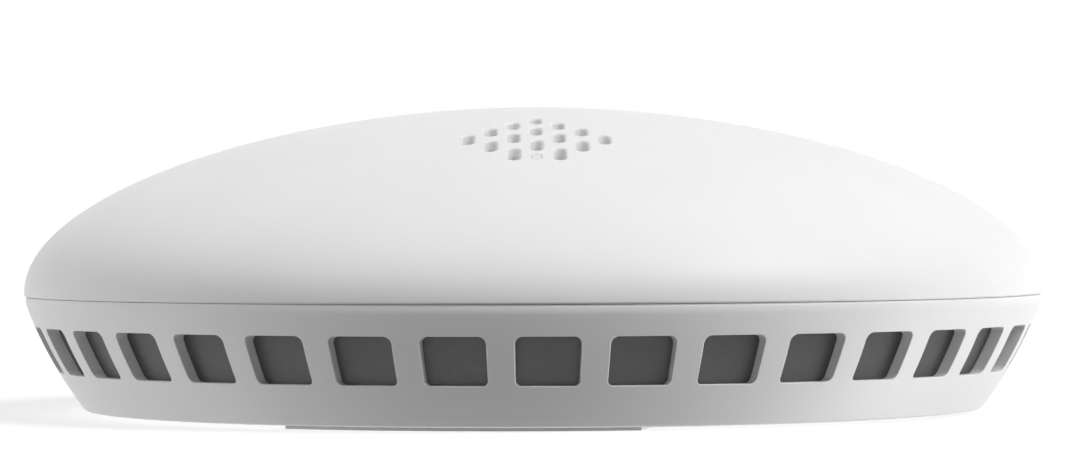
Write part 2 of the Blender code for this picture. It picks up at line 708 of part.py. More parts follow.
def cover_profile():
    spigot_foot = LIP_Z - SPIGOT_DEPTH
    spigot_radius = skirt_radius(spigot_foot) - SKIRT_WALL - CLEARANCE
    spigot_inner = spigot_radius - SPIGOT_WALL
    collar_outer = COLLAR_RADIUS + COLLAR_WALL
    collar_foot = button_flange_foot() - BUTTON_TRAVEL - COLLAR_SPARE
    lip_top = (DOME_RADIUS, LIP_Z + DOME_LIP_ROUND)
    lip_centre = (DOME_RADIUS - DOME_LIP_ROUND, LIP_Z + DOME_LIP_ROUND)
    return [
        *dome_run(BUTTON_HOLE_RADIUS, DOME_RADIUS),
        lip_top,
        *arc(lip_centre, DOME_LIP_ROUND, 0, -90, 2)[1:],
        (spigot_radius, LIP_Z),
        (spigot_radius, spigot_foot),
        (spigot_inner, spigot_foot),
        *reversed(dome_run(collar_outer, spigot_inner, COVER_WALL, DOME_STEPS // 2)),
        (collar_outer, collar_foot),
        (COLLAR_RADIUS, collar_foot),
        (COLLAR_RADIUS, dome_height(COLLAR_RADIUS, COVER_WALL)),
        (BUTTON_HOLE_RADIUS, dome_height(BUTTON_HOLE_RADIUS, COVER_WALL)),
    ]


def add_cover_posts(bm):
    """Posts whose tops end inside the dome's wall, at its lowest point over them."""
    top = dome_height(POST_CIRCLE + POST_RADIUS) - CLEARANCE
    for angle in POST_ANGLES:
        place = polar(POST_CIRCLE, angle)
        add_cylinder(bm, POST_RADIUS, COVER_BOSS_Z + CLEARANCE, top, place)


def cut_post_pilots(bm):
    radius = COVER_SCREW_RADIUS + CLEARANCE
    top = COVER_SCREW_Z + COVER_SCREW_HEAD + COVER_SCREW_LENGTH + EMBED
    for angle in POST_ANGLES:
        add_cylinder(bm, radius, COVER_BOSS_Z - EMBED, top, polar(POST_CIRCLE, angle))


def cut_grille(bm):
    outline = stadium(SLOT_WIDTH, SLOT_LENGTH)
    for row, count in enumerate(GRILLE_ROWS):
        out = GRILLE_START + row * GRILLE_ROW_PITCH
        for column in range(count):
            across = (2 * column - count + 1) * GRILLE_COLUMN_PITCH
            add_prism(bm, shifted(outline, (across, -out)), SEAT_Z, APEX_Z)


def cut_led_opening(bm):
    outline = stadium(LED_SLOT_WIDTH, LED_SLOT_LENGTH)
    add_prism(bm, shifted(outline, (0.0, -LED_RADIUS_OUT)), SEAT_Z, APEX_Z)


def make_cover(alarm):
    cover = alarm.turned(
        "dome_cover", cover_profile(), WHITE_PLASTIC, closed=True, segments=SEGMENTS
    )
    alarm.combine(cover, "UNION", add_cover_posts)
    for cut in (cut_post_pilots, cut_grille, cut_led_opening):
        alarm.combine(cover, "DIFFERENCE", cut)


def make_test_button(alarm):
    flange_foot = button_flange_foot()
    flange_top = flange_foot + BUTTON_FLANGE_WALL
    stem_foot = TACT_TOP_Z + PLUNGER_RISE + CLEARANCE
    crown = dome_run(0.0, BUTTON_RADIUS - BUTTON_ROUND, steps=4)
    crown[0] = (0.0, APEX_Z)
    profile = [
        *crown,
        (BUTTON_RADIUS, crown[-1][1] - BUTTON_ROUND),
        (BUTTON_RADIUS, flange_top),
        (FLANGE_RADIUS, flange_top),
        (FLANGE_RADIUS, flange_foot),
        (BUTTON_STEM_RADIUS, flange_foot),
        (BUTTON_STEM_RADIUS, stem_foot),
        (0.0, stem_foot),
    ]
    alarm.turned("test_button", profile, WHITE_PLASTIC, segments=SEGMENTS // 2)


def make_tact_plunger(alarm):
    foot = SEAT_Z + TACT_BASE + CLEARANCE + BUTTON_TRAVEL
    top = TACT_TOP_Z + PLUNGER_RISE
    profile = [(0.0, top), (PLUNGER_RADIUS, top), (PLUNGER_RADIUS, foot), (0.0, foot)]
    alarm.turned("tact_plunger", profile, BLACK_PLASTIC)


def make_tact_switch(alarm):
    def body(bm):
        centre = (0.0, 0.0, SEAT_Z + TACT_HEIGHT / 2)
        add_box(bm, (TACT_WIDTH, TACT_WIDTH, TACT_HEIGHT), centre)

    def bore(bm):
        radius = PLUNGER_RADIUS + RUNNING_GAP
        add_cylinder(bm, radius, SEAT_Z + TACT_BASE, TACT_TOP_Z + EMBED)

    switch = alarm.built("tact_switch", body, STEEL)
    alarm.combine(switch, "DIFFERENCE", bore)


# ---- Circuit board and the parts on it ----


def make_board(alarm):
    def holes(bm):
        low, high = BOARD_Z - EMBED, BOARD_TOP_Z + EMBED
        for angle in POST_ANGLES:
            radius = POST_RADIUS + CLEARANCE
            add_cylinder(bm, radius, low, high, polar(POST_CIRCLE, angle))
        for angle in BOARD_SCREW_ANGLES:
            radius = BOARD_SCREW_RADIUS + CLEARANCE
            add_cylinder(bm, radius, low, high, polar(BOARD_SCREW_CIRCLE, angle))

    profile = [
        (0.0, BOARD_TOP_Z),
        (BOARD_RADIUS, BOARD_TOP_Z),
        (BOARD_RADIUS, BOARD_Z),
        (0.0, BOARD_Z),
    ]
    board = alarm.turned("circuit_board", profile, GREEN_BOARD, segments=SEGMENTS)
    alarm.combine(board, "DIFFERENCE", holes)


def make_sensor(alarm):
    cell = [
        (0.0, SENSOR_HEIGHT),
        (SENSOR_RADIUS, SENSOR_HEIGHT),
        (SENSOR_RADIUS, CLEARANCE),
        (SENSOR_RADIUS - CLEARANCE, 0.0),
        (0.0, 0.0),
    ]
    gas_filter = [
        (FILTER_HOLE_RADIUS, FILTER_HEIGHT),
        (FILTER_RADIUS, FILTER_HEIGHT),
        (FILTER_RADIUS, 0.0),
        (FILTER_HOLE_RADIUS, 0.0),
    ]
    alarm.turned("co_sensor_cell", cell, GREY_PLASTIC, (*SENSOR_PLACE, SENSOR_Z), segments=32)
    alarm.turned(
        "co_sensor_filter", gas_filter, STEEL, (*SENSOR_PLACE, FILTER_Z), closed=True
    )


def make_siren(alarm):
    place = (0.0, -SIREN_OUT, SEAT_Z)
    inner = HORN_RADIUS - HORN_WALL
    ledge = inner - HORN_LEDGE
    ceiling = HORN_HEIGHT - HORN_WALL
    horn = [
        (HORN_PORT_RADIUS, HORN_HEIGHT),
        (HORN_RADIUS - HORN_WALL / 2, HORN_HEIGHT),
        (HORN_RADIUS, HORN_HEIGHT - HORN_WALL / 2),
        (HORN_RADIUS, 0.0),
        (inner, 0.0),
        (inner, HORN_LEDGE_HEIGHT),
        (ledge, HORN_LEDGE_HEIGHT),
        (ledge, ceiling),
        (HORN_PORT_RADIUS, ceiling),
    ]
    disc_radius = inner - CLEARANCE
    disc_top = HORN_LEDGE_HEIGHT - CLEARANCE
    disc_foot = disc_top - PIEZO_THICKNESS
    disc = [(0.0, disc_top), (disc_radius, disc_top), (disc_radius, disc_foot), (0.0, disc_foot)]
    ceramic_top = disc_foot - BOND_GAP
    ceramic_foot = ceramic_top - CERAMIC_THICKNESS
    ceramic = [
        (0.0, ceramic_top),
        (CERAMIC_RADIUS, ceramic_top),
        (CERAMIC_RADIUS, ceramic_foot),
        (0.0, ceramic_foot),
    ]
    retainer = [
        (disc_radius - RETAINER_WALL, disc_foot - CLEARANCE),
        (disc_radius, disc_foot - CLEARANCE),
        (disc_radius, 0.0),
        (disc_radius - RETAINER_WALL, 0.0),
    ]
    alarm.turned("siren_horn", horn, BLACK_PLASTIC, place, closed=True, segments=32)
    alarm.turned("piezo_disc", disc, BRASS, place, segments=32)
    alarm.turned("piezo_ceramic", ceramic, CERAMIC, place)
    alarm.turned("siren_retainer", retainer, GREY_PLASTIC, place, closed=True, segments=32)
    contacts = (("siren_contact_1", 0.0, ceramic_foot), ("siren_contact_2", CONTACT_OFFSET, disc_foot))
    for name, offset, above in contacts:
        top = above - CLEARANCE
        pin = [(0.0, top), (CONTACT_RADIUS, top), (CONTACT_RADIUS, 0.0), (0.0, 0.0)]
        alarm.turned(name, pin, NICKEL, (offset, -SIREN_OUT, SEAT_Z), segments=8)


def make_cell(alarm):
    """The cell lies along X: its profile is turned about Z and then laid down."""
    half = CELL_LENGTH / 2
    profile = [
        (0.0, half + CELL_NUB_LENGTH),
        (CELL_NUB_RADIUS, half + CELL_NUB_LENGTH),
        (CELL_NUB_RADIUS, half),
        (CELL_RADIUS - CELL_ROUND, half),
        (CELL_RADIUS, half - CELL_ROUND),
        (CELL_RADIUS, CELL_ROUND - half),
        (CELL_RADIUS - CELL_ROUND, -half),
        (0.0, -half),
    ]
    cell = alarm.turned("lithium_cell", profile, BLUE_SLEEVE, (0.0, CELL_OUT, CELL_Z), segments=28)
    cell.rotation_euler = (0.0, math.radians(90.0), 0.0)


def make_cradle(alarm):
    arm_width = 2 * (CELL_RADIUS + CLEARANCE + CRADLE_ARM_WALL)
    arm_height = CELL_Z - SEAT_Z + CRADLE_ARM_RISE

    def base(bm):
        add_box(bm, (CRADLE_LENGTH, arm_width - 2 * SHY, CRADLE_BASE), (0.0, 0.0, CRADLE_BASE / 2))

    def arms(bm):
        for side in (-1, 1):
            x = side * (CRADLE_LENGTH / 2 - CRADLE_ARM_LENGTH)
            centre = (x, 0.0, (arm_height + SHY) / 2)
            add_box(bm, (CRADLE_ARM_LENGTH, arm_width, arm_height - SHY), centre)

    def trough(bm):
        laid = Matrix.Translation((0.0, 0.0, CELL_Z - SEAT_Z))
        laid = laid @ Matrix.Rotation(math.radians(90.0), 4, "Y")
        bmesh.ops.create_cone(
            bm, cap_ends=True, segments=28, radius1=CELL_RADIUS + CLEARANCE,
            radius2=CELL_RADIUS + CLEARANCE, depth=CRADLE_LENGTH + CELL_LENGTH, matrix=laid,
        )

    cradle = alarm.built("cell_cradle", base, GREY_PLASTIC, (0.0, CELL_OUT, SEAT_Z))
    alarm.combine(cradle, "UNION", arms)
    alarm.combine(cradle, "DIFFERENCE", trough)


def make_cell_tabs(alarm):
    """Nickel strips from the ends of the cell down to the board, their feet turned out."""
    rise = CELL_Z - SEAT_Z + TAB_RISE
    ends = (("cell_tab_positive", 1, CELL_NUB_LENGTH), ("cell_tab_negative", -1, 0.0))
    for name, side, nub in ends:
        start = CELL_LENGTH / 2 + nub + CLEARANCE

        def strip(bm):
            thick = start + TAB_THICKNESS
            outline = [
                (start, 0.0), (thick + TAB_FOOT, 0.0), (thick + TAB_FOOT, TAB_THICKNESS),
                (thick, TAB_THICKNESS), (thick, rise), (start, rise),
            ]
            add_prism(bm, outline, -TAB_WIDTH / 2, TAB_WIDTH / 2)

        tab = alarm.built(name, strip, NICKEL, (0.0, CELL_OUT, SEAT_Z))
        tab.rotation_euler = (math.radians(90.0), 0.0, 0.0 if side > 0 else math.radians(180.0))


def make_indicator(alarm):
    """The LED on the board, and the light pipe that runs up into its opening."""
    place = (0.0, -LED_RADIUS_OUT, SEAT_Z)
    bulb = arc((0.0, LED_HEIGHT - LED_RADIUS), LED_RADIUS, 90, 0, 4)
    bulb[0] = (0.0, LED_HEIGHT)
    alarm.turned("status_led", [*bulb, (LED_RADIUS, 0.0), (0.0, 0.0)], GREEN_LENS, place)

    pipe_foot = LED_HEIGHT + CLEARANCE
    shoulder = dome_height(LED_RADIUS_OUT + PIPE_RADIUS, COVER_WALL) - CLEARANCE - SEAT_Z
    tip_z = dome_height(LED_RADIUS_OUT) - PIPE_TIP_SINK - SEAT_Z
    profile = [
        (0.0, shoulder),
        (PIPE_RADIUS, shoulder),
        (PIPE_RADIUS, pipe_foot),
        (0.0, pipe_foot),
    ]

    def tip(bm):
        outline = stadium(LED_SLOT_WIDTH - 2 * PIPE_TIP_GAP, LED_SLOT_LENGTH - 2 * PIPE_TIP_GAP)
        add_prism(bm, outline, shoulder - EMBED, tip_z)

    pipe = alarm.turned("light_pipe", profile, CLEAR_PLASTIC, place)
    alarm.combine(pipe, "UNION", tip)


def make_board_parts(alarm):
    for name, place, length, width in CHIPS:
        def chip(bm):
            add_box(bm, (length, width, CHIP_HEIGHT), (0.0, 0.0, CHIP_HEIGHT / 2))

        alarm.built(name, chip, BLACK_PLASTIC, (*place, SEAT_Z))
    coil = [
        (0.0, COIL_HEIGHT),
        (COIL_RADIUS, COIL_HEIGHT),
        (COIL_RADIUS, COIL_HEIGHT - COIL_FLANGE),
        (COIL_RADIUS - COIL_WAIST, COIL_HEIGHT - COIL_FLANGE),
        (COIL_RADIUS - COIL_WAIST, COIL_FLANGE),
        (COIL_RADIUS, COIL_FLANGE),
        (COIL_RADIUS, 0.0),
        (0.0, 0.0),
    ]
    alarm.turned("boost_coil", coil, COPPER, (*COIL_PLACE, SEAT_Z))
    can = [
        (0.0, CAPACITOR_HEIGHT),
        (CAPACITOR_RADIUS - CLEARANCE, CAPACITOR_HEIGHT),
        (CAPACITOR_RADIUS, CAPACITOR_HEIGHT - CLEARANCE),
        (CAPACITOR_RADIUS, 0.0),
        (0.0, 0.0),
    ]
    for number, place in enumerate(CAPACITOR_PLACES, 1):
        alarm.turned(f"capacitor_{number}", can, BLUE_SLEEVE, (*place, SEAT_Z))


# ---- Activation switch ----


def make_power_switch(alarm):
    """The switch hangs under the board, over the middle of the slider's travel."""
    switch_foot = BOARD_Z - CLEARANCE - SWITCH_HEIGHT
    half_travel = math.radians(TWIST_ANGLE / 2) * SLIDER_CIRCLE

    def body(bm):
        centre = (SLIDER_CIRCLE, -half_travel, switch_foot + SWITCH_HEIGHT / 2)
        add_box(bm, (SWITCH_WIDTH, SWITCH_LENGTH, SWITCH_HEIGHT), centre)

    def slot(bm):
        reach = LEVER_RADIUS + RUNNING_GAP
        spare = math.degrees(reach / SLIDER_CIRCLE)
        outline = sector(
            SLIDER_CIRCLE - reach, SLIDER_CIRCLE + reach, -TWIST_ANGLE - spare, spare
        )
        slot_top = switch_foot + LEVER_ENTRY + CLEARANCE
        add_prism(bm, outline, switch_foot - EMBED, slot_top)

    switch = alarm.built("power_switch", body, GREY_PLASTIC)
    alarm.combine(switch, "DIFFERENCE", slot)


def make_slider(alarm):
    flange_z = FLOOR_Z + CLEARANCE
    flange_top = flange_z + SLIDER_FLANGE_WALL
    place = (SLIDER_CIRCLE, 0.0)

    def flange(bm):
        reach = SLIDER_HALF_WIDTH + SLIDER_FLANGE
        end = SLIDER_HALF_ANGLE + SLIDER_FLANGE_ANGLE
        outline = sector(SLIDER_CIRCLE - reach, SLIDER_CIRCLE + reach, -end, end, 6)
        add_prism(bm, outline, flange_z, flange_top)

    def block(bm):
        inner = SLIDER_CIRCLE - SLIDER_HALF_WIDTH
        outer = SLIDER_CIRCLE + SLIDER_HALF_WIDTH
        outline = sector(inner, outer, -SLIDER_HALF_ANGLE, SLIDER_HALF_ANGLE, 6)
        add_prism(bm, outline, RECESS_Z, flange_z + SLIDER_FLANGE_WALL / 2)

    def socket(bm):
        top = flange_top + LEVER_SOCKET_HEIGHT
        add_cylinder(bm, LEVER_SOCKET_RADIUS, flange_top - SHY, top, place)

    def socket_bore(bm):
        top = flange_top + LEVER_SOCKET_HEIGHT + EMBED
        add_cylinder(bm, LEVER_RADIUS + CLEARANCE, flange_top, top, place)

    def peg_pocket(bm):
        top = BRACKET_PLATE + PEG_HEIGHT + CLEARANCE
        add_cylinder(bm, PEG_RADIUS + RUNNING_GAP, RECESS_Z - EMBED, top, place)

    slider = alarm.built("activation_slider", flange, GREY_PLASTIC)
    alarm.combine(slider, "UNION", block)
    alarm.combine(slider, "UNION", socket)
    alarm.combine(slider, "DIFFERENCE", socket_bore)
    alarm.combine(slider, "DIFFERENCE", peg_pocket)


def make_switch_lever(alarm):
    foot = FLOOR_Z + CLEARANCE + SLIDER_FLANGE_WALL + CLEARANCE
    top = BOARD_Z - CLEARANCE - SWITCH_HEIGHT + LEVER_ENTRY
    pin = [(0.0, top), (LEVER_RADIUS, top), (LEVER_RADIUS, foot), (0.0, foot)]
    alarm.turned("power_switch_lever", pin, BLACK_PLASTIC, (SLIDER_CIRCLE, 0.0, 0.0))


# ---- Screws ----


def screw_profile(head_radius, head, radius, length):
    """A pan-head screw, its head's seat at zero and its shank hanging down."""
    rim = head * HEAD_RIM
    return [
        (0.0, head),
        (head_radius * HEAD_FLAT, head),
        (head_radius, rim),
        (head_radius, 0.0),
        (radius, 0.0),
        (radius, radius - length),
        (0.0, -length),
    ]


def cross_recess(radius, head):
    """A cutter for the driver's cross in the top of a head."""

    def cross(bm):
        arm = radius * CROSS_ARM
        reach = radius * CROSS_REACH
        outline = []
        for quarter in range(4):
            for x, y in ((reach, -arm), (reach, arm), (arm, arm)):
                turned = Matrix.Rotation(math.radians(90.0 * quarter), 2) @ Vector((x, y))
                outline.append((turned.x, turned.y))
        add_prism(bm, outline, head * CROSS_FLOOR, head + EMBED)

    return cross


def make_screws(alarm):
    """Cover screws come up from the back, board screws down from above."""
    cover = screw_profile(
        COVER_SCREW_HEAD_RADIUS, COVER_SCREW_HEAD, COVER_SCREW_RADIUS, COVER_SCREW_LENGTH
    )
    seat = COVER_SCREW_Z + COVER_SCREW_HEAD
    for number, angle in enumerate(POST_ANGLES, 1):
        location = (*polar(POST_CIRCLE, angle), seat)
        screw = alarm.turned(f"cover_screw_{number}", cover, STEEL, location)
        screw.rotation_euler = (math.radians(180.0), 0.0, 0.0)
        alarm.combine(screw, "DIFFERENCE", cross_recess(COVER_SCREW_HEAD_RADIUS, COVER_SCREW_HEAD))
    board = screw_profile(
        BOARD_SCREW_HEAD_RADIUS, BOARD_SCREW_HEAD, BOARD_SCREW_RADIUS, BOARD_SCREW_LENGTH
    )
    for number, angle in enumerate(BOARD_SCREW_ANGLES, 1):
        location = (*polar(BOARD_SCREW_CIRCLE, angle), SEAT_Z)
        screw = alarm.turned(f"board_screw_{number}", board, STEEL, location, segments=16)
        alarm.combine(screw, "DIFFERENCE", cross_recess(BOARD_SCREW_HEAD_RADIUS, BOARD_SCREW_HEAD))


def build():
    alarm = Alarm()
    make_bracket(alarm)
    twist_axis = alarm.add_axis("twist_lock_axis")
    make_housing(alarm)
    make_insect_screen(alarm)
    make_cover(alarm)
    make_board(alarm)
    make_sensor(alarm)
    make_siren(alarm)
    make_cell(alarm)
    make_cradle(alarm)
    make_cell_tabs(alarm)
    make_indicator(alarm)
    make_tact_switch(alarm)
    make_power_switch(alarm)
    make_board_parts(alarm)
    make_screws(alarm)
    alarm.add_axis("test_button_axis", twist_axis)
    make_test_button(alarm)
    make_tact_plunger(alarm)
    alarm.add_axis("activation_slider_axis", twist_axis)
    make_slider(alarm)
    make_switch_lever(alarm)


build()
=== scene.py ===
"""Carbon monoxide alarm on its twist-lock bracket: fine shells, materials, light and camera."""

import bisect
import json
import math

import bmesh
import bpy
from mathutils import Matrix, Vector
from mathutils.geometry import delaunay_2d_cdt


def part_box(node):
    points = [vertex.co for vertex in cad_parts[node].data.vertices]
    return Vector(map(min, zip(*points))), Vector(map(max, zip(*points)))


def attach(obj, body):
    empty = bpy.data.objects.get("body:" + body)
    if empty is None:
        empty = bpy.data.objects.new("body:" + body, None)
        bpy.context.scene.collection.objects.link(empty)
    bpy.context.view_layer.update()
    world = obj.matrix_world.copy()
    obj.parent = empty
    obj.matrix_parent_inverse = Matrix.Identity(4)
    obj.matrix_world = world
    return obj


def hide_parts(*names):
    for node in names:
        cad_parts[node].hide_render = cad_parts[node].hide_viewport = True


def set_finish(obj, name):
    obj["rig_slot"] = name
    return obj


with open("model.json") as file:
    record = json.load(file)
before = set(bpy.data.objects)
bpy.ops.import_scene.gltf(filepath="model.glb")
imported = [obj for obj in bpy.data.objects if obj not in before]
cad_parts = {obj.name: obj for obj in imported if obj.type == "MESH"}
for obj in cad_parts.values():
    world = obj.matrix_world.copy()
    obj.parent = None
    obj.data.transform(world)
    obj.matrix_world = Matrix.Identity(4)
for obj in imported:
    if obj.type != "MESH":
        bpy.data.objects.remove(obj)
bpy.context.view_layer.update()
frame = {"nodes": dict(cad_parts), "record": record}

# All lengths are in millimetres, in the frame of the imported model, until a mesh is made.
METRES = 0.001
FRONT = 270.0  # degrees, the side with the grille
STEP = 1.25  # degrees between the corners of a turned shell

DOME_RADIUS = 66.0
APEX_Z = 39.4
RIM_Z = 15.64
DOME_CROWN = 33.0
DOME_SHOULDER = 12.57
LIP_Z = 15.09
LIP_ROUND = 0.3
COVER_WALL = 2.0
SPIGOT_RADIUS = 63.2
SPIGOT_WALL = 1.2
SPIGOT_FOOT = 13.29

SKIRT_TOP_RADIUS = 65.94
SKIRT_FOOT_RADIUS = 58.2
SKIRT_TOP_Z = 14.67
SKIRT_DEPTH = 14.27
SKIRT_LEAN = 0.62
SKIRT_WALL = 1.6
SEAM_Z = 14.86  # the skirt's top, close under the cover's lip
SEAM_BEND = 2.7
SEAM_TURN = 2.0  # degrees over level at which the bend meets the small round at its top
SEAM_ROUND = 0.05
TONGUE_RADIUS = 65.74  # the rib on the skirt that closes the seam behind its mouth
TONGUE_GAP = 0.05
SKIRT_FOOT_ROUND = 0.8
FOOT_Z = 0.4
GROOVE_RADIUS = 56.9
GROOVE_Z = 1.3
GROOVE_FLOOR_Z = 3.3
RECESS_RADIUS = 48.55
RECESS_Z = 2.9
FLOOR_Z = 4.9
FLOOR_WALL = 2.0
EDGE_ROUND = 0.3

GRIP_ANGLES = (FRONT - 31.5, FRONT + 12.1)
GRIP_ROOT = 56.2
GRIP_RADIUS = 57.65
GRIP_FOOT_Z = 0.01
GRIP_TOP_Z = 0.385
GRIP_ROUND = 0.06
LUG_ANGLES = (60.0, 180.0, 300.0)
LEDGE_HALF_ANGLE = 6.0
LEDGE_RADIUS = 46.35
LEDGE_TOP_Z = 1.2
LEDGE_ROUND = 0.15
TRACK_RADII = (12.75, 19.25)
TRACK_ANGLES = (-28.25, 13.25)
TRACK_ROUND = 0.6
POST_CIRCLE = 44.0
POST_ANGLES = (90.0, 210.0, 330.0)
POST_RADIUS = 3.3
POST_FOOT_Z = 8.7
POST_PILOT_Z = 15.2
SCREW_BORE = 1.5
HEAD_BORE = 3.2
HEAD_SEAT_Z = 5.2
COVER_BOSS_RADIUS = 4.6
COVER_BOSS_Z = 8.4
BOARD_BOSS_CIRCLE = 46.0
BOARD_BOSS_ANGLES = (48.0, 132.0, 252.0)
BOARD_BOSS_RADIUS = 3.0
BOARD_BOSS_Z = 12.3
BOARD_PILOT = 1.3
BOARD_PILOT_Z = 7.4
SMALL_ROUND = 0.2

WINDOW_COUNT = 36
WINDOW_WIDTH = 7.75
WINDOW_TOP_Z = 11.32
WINDOW_FOOT_Z = 5.47
WINDOW_TOP_ROUND = 0.9
WINDOW_FOOT_ROUND = 0.65
WINDOW_PHASE = 0.96
WINDOW_EDGE = 0.1
WINDOW_BAND = (4.3, 12.5)  # heights between which the skirt is made cell by cell

GRILLE_ROWS = (1, 2, 3, 4, 3, 2)
GRILLE_START = 26.2
GRILLE_ROW_PITCH = 3.45
GRILLE_COLUMN_PITCH = 2.77
SLOT_WIDTH = 1.35
SLOT_LENGTH = 4.3
SLOT_EDGE = 0.35
LED_OUT = 44.7
LED_WIDTH = 1.3
LED_LENGTH = 2.2
LED_EDGE = 0.07
LENS_GAP = 0.025
LENS_SINK = 0.03
LENS_ROUND = 0.05
PIPE_RADIUS = 1.6
PIPE_GAP = 0.3  # between the pipe's shoulder and the cover
PIPE_FOOT_Z = 19.0  # just over the light on the board
GRILLE_PATCH = (22.5, 48.5)  # radii of the field that holds the slots
GRILLE_SPAN = 20.0  # degrees either side of the front

BUTTON_RADIUS = 10.2
BUTTON_HOLE = 10.55
BUTTON_EDGE = 0.4
COLLAR_RADIUS = 14.0  # the collar under the cover that guides the button
COLLAR_BORE = 12.55
COLLAR_DEPTH = 3.2
FLANGE_RADIUS = 12.2  # the button's flange, caught in the collar
FLANGE_WALL = 1.2
FLANGE_DROP = 1.5
STEM_RADIUS = 2.6

SCREEN_GAP = 0.03  # between the skirt's inner face and the screen
SCREEN_BACK = 0.9  # from the skirt's inner face to the screen's back
SCREEN_BAND = (3.6, 12.3)
SCREEN_ROWS = 56


# ---- Shells with exact normals ----


class Shell:
    """Faces with a normal at each corner, welded into one closed mesh."""

    def __init__(self):
        self.points, self.normals, self.faces = [], [], []

    def add(self, corners, faces):
        """Corners are (point, normal). A face is turned to agree with its normals."""
        for face in faces:
            spots = [corners[i][0] for i in face]
            sides = [spot - spots[0] for spot in spots]
            across = sum((a.cross(b) for a, b in zip(sides, sides[1:])), Vector())
            lean = sum((corners[i][1] for i in face), Vector())
            if across.dot(lean) < 0:
                face = face[::-1]
            start = len(self.points)
            self.points += [corners[i][0] for i in face]
            self.normals += [corners[i][1] for i in face]
            self.faces.append(tuple(range(start, start + len(face))))

    def grid(self, rows):
        """Rows of corners, joined each to the next."""
        width = len(rows[0])
        corners = [corner for row in rows for corner in row]
        faces = []
        for i in range(len(rows) - 1):
            for j in range(width - 1):
                a = i * width + j
                faces.append((a, a + width, a + width + 1, a + 1))
        self.add(corners, faces)

    def turn(self, run, turns, place=(0.0, 0.0)):
        """A run of (radius, height, normal out, normal up) turned about an upright axis."""
        rows = []
        for r, z, out, up in run:
            row = []
            for turn in turns:
                c, s = math.cos(math.radians(turn)), math.sin(math.radians(turn))
                point = Vector((place[0] + r * c, place[1] + r * s, z))
                row.append((point, Vector((out * c, out * s, up))))
            rows.append(row)
        self.grid(rows)

    def cap(self, runs, turn, side):
        """Closes the end of a turned profile; side 1 looks the way that the turn goes."""
        c, s = math.cos(math.radians(turn)), math.sin(math.radians(turn))
        away = Vector((-side * s, side * c, 0.0))
        corners = [(Vector((r * c, r * s, z)), away) for run in runs for r, z, _, _ in run[:-1]]
        self.add(corners, [tuple(range(len(corners)))])

    def make(self, name, body, slot=None):
        mesh = bpy.data.meshes.new(name)
        mesh.from_pydata([p * METRES for p in self.points], [], self.faces)
        layer = mesh.attributes.new("kept", "FLOAT_VECTOR", "CORNER")
        layer.data.foreach_set("vector", [c for normal in self.normals for c in normal.normalized()])
        bm = bmesh.new()
        bm.from_mesh(mesh)
        bmesh.ops.remove_doubles(bm, verts=bm.verts, dist=0.001 * METRES)
        open_edges = sum(1 for edge in bm.edges if len(edge.link_faces) != 2)
        if open_edges:
            print(f"{name}: {open_edges} open edges")
        bm.to_mesh(mesh)
        bm.free()
        layer = mesh.attributes["kept"]
        kept = [tuple(item.vector) for item in layer.data]
        mesh.attributes.remove(layer)
        mesh.shade_smooth()
        mesh.normals_split_custom_set(kept)
        return finish_piece(bpy.data.objects.new(name, mesh), body, slot)


def finish_piece(piece, body, slot):
    bpy.context.scene.collection.objects.link(piece)
    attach(piece, body)
    if slot:
        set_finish(piece, slot)
    return piece


def turns(start, end):
    count = round((end - start) / STEP)
    return [start + (end - start) * i / count for i in range(count + 1)]


ALL_ROUND = turns(0.0, 360.0)
SMALL_TURN = ALL_ROUND[::9]
WINDOW_ROUND = [turn + WINDOW_PHASE for turn in ALL_ROUND]  # in step with the windows


def line(*points):
    """A run of straight lines, each with its own normals, to the left of its direction."""
    runs = []
    for (r0, z0), (r1, z1) in zip(points, points[1:]):
        out, up = -(z1 - z0), r1 - r0
        size = math.hypot(out, up)
        runs.append([(r0, z0, out / size, up / size), (r1, z1, out / size, up / size)])
    return runs


def soft_loop(points, radius, steps=3):
    """The runs, in order, of a closed profile whose outward corners are rounded."""
    count = len(points)
    normals = []
    for i, (r, z) in enumerate(points):
        r1, z1 = points[(i + 1) % count]
        normals.append(Vector((z - z1, r1 - r)).normalized())
    bends = []
    for i, corner in enumerate(points):
        before, after, spot = normals[i - 1], normals[i], Vector(corner)
        if before.cross(after) > 0:
            bends.append([(spot.x, spot.y, 0.0, 0.0)])
            continue
        centre = spot - radius * (before + after) / (1.0 + before.dot(after))
        start, end = (math.degrees(math.atan2(n.y, n.x)) for n in (before, after))
        bends.append(curve(centre, radius, start, end - 360.0 if end > start else end, steps))
    runs = []
    for bend, following in zip(bends, [*bends[1:], bends[0]]):
        if len(bend) > 1:
            runs.append(bend)
        runs += line(bend[-1][:2], following[0][:2])
    return runs


def curve(centre, radius, start, end, steps=5):
    """An arc of a profile, with normals away from its centre."""
    run = []
    for i in range(steps + 1):
        angle = math.radians(start + (end - start) * i / steps)
        c, s = math.cos(angle), math.sin(angle)
        run.append((centre[0] + radius * c, centre[1] + radius * s, c, s))
    return run


# ---- The two height fields ----


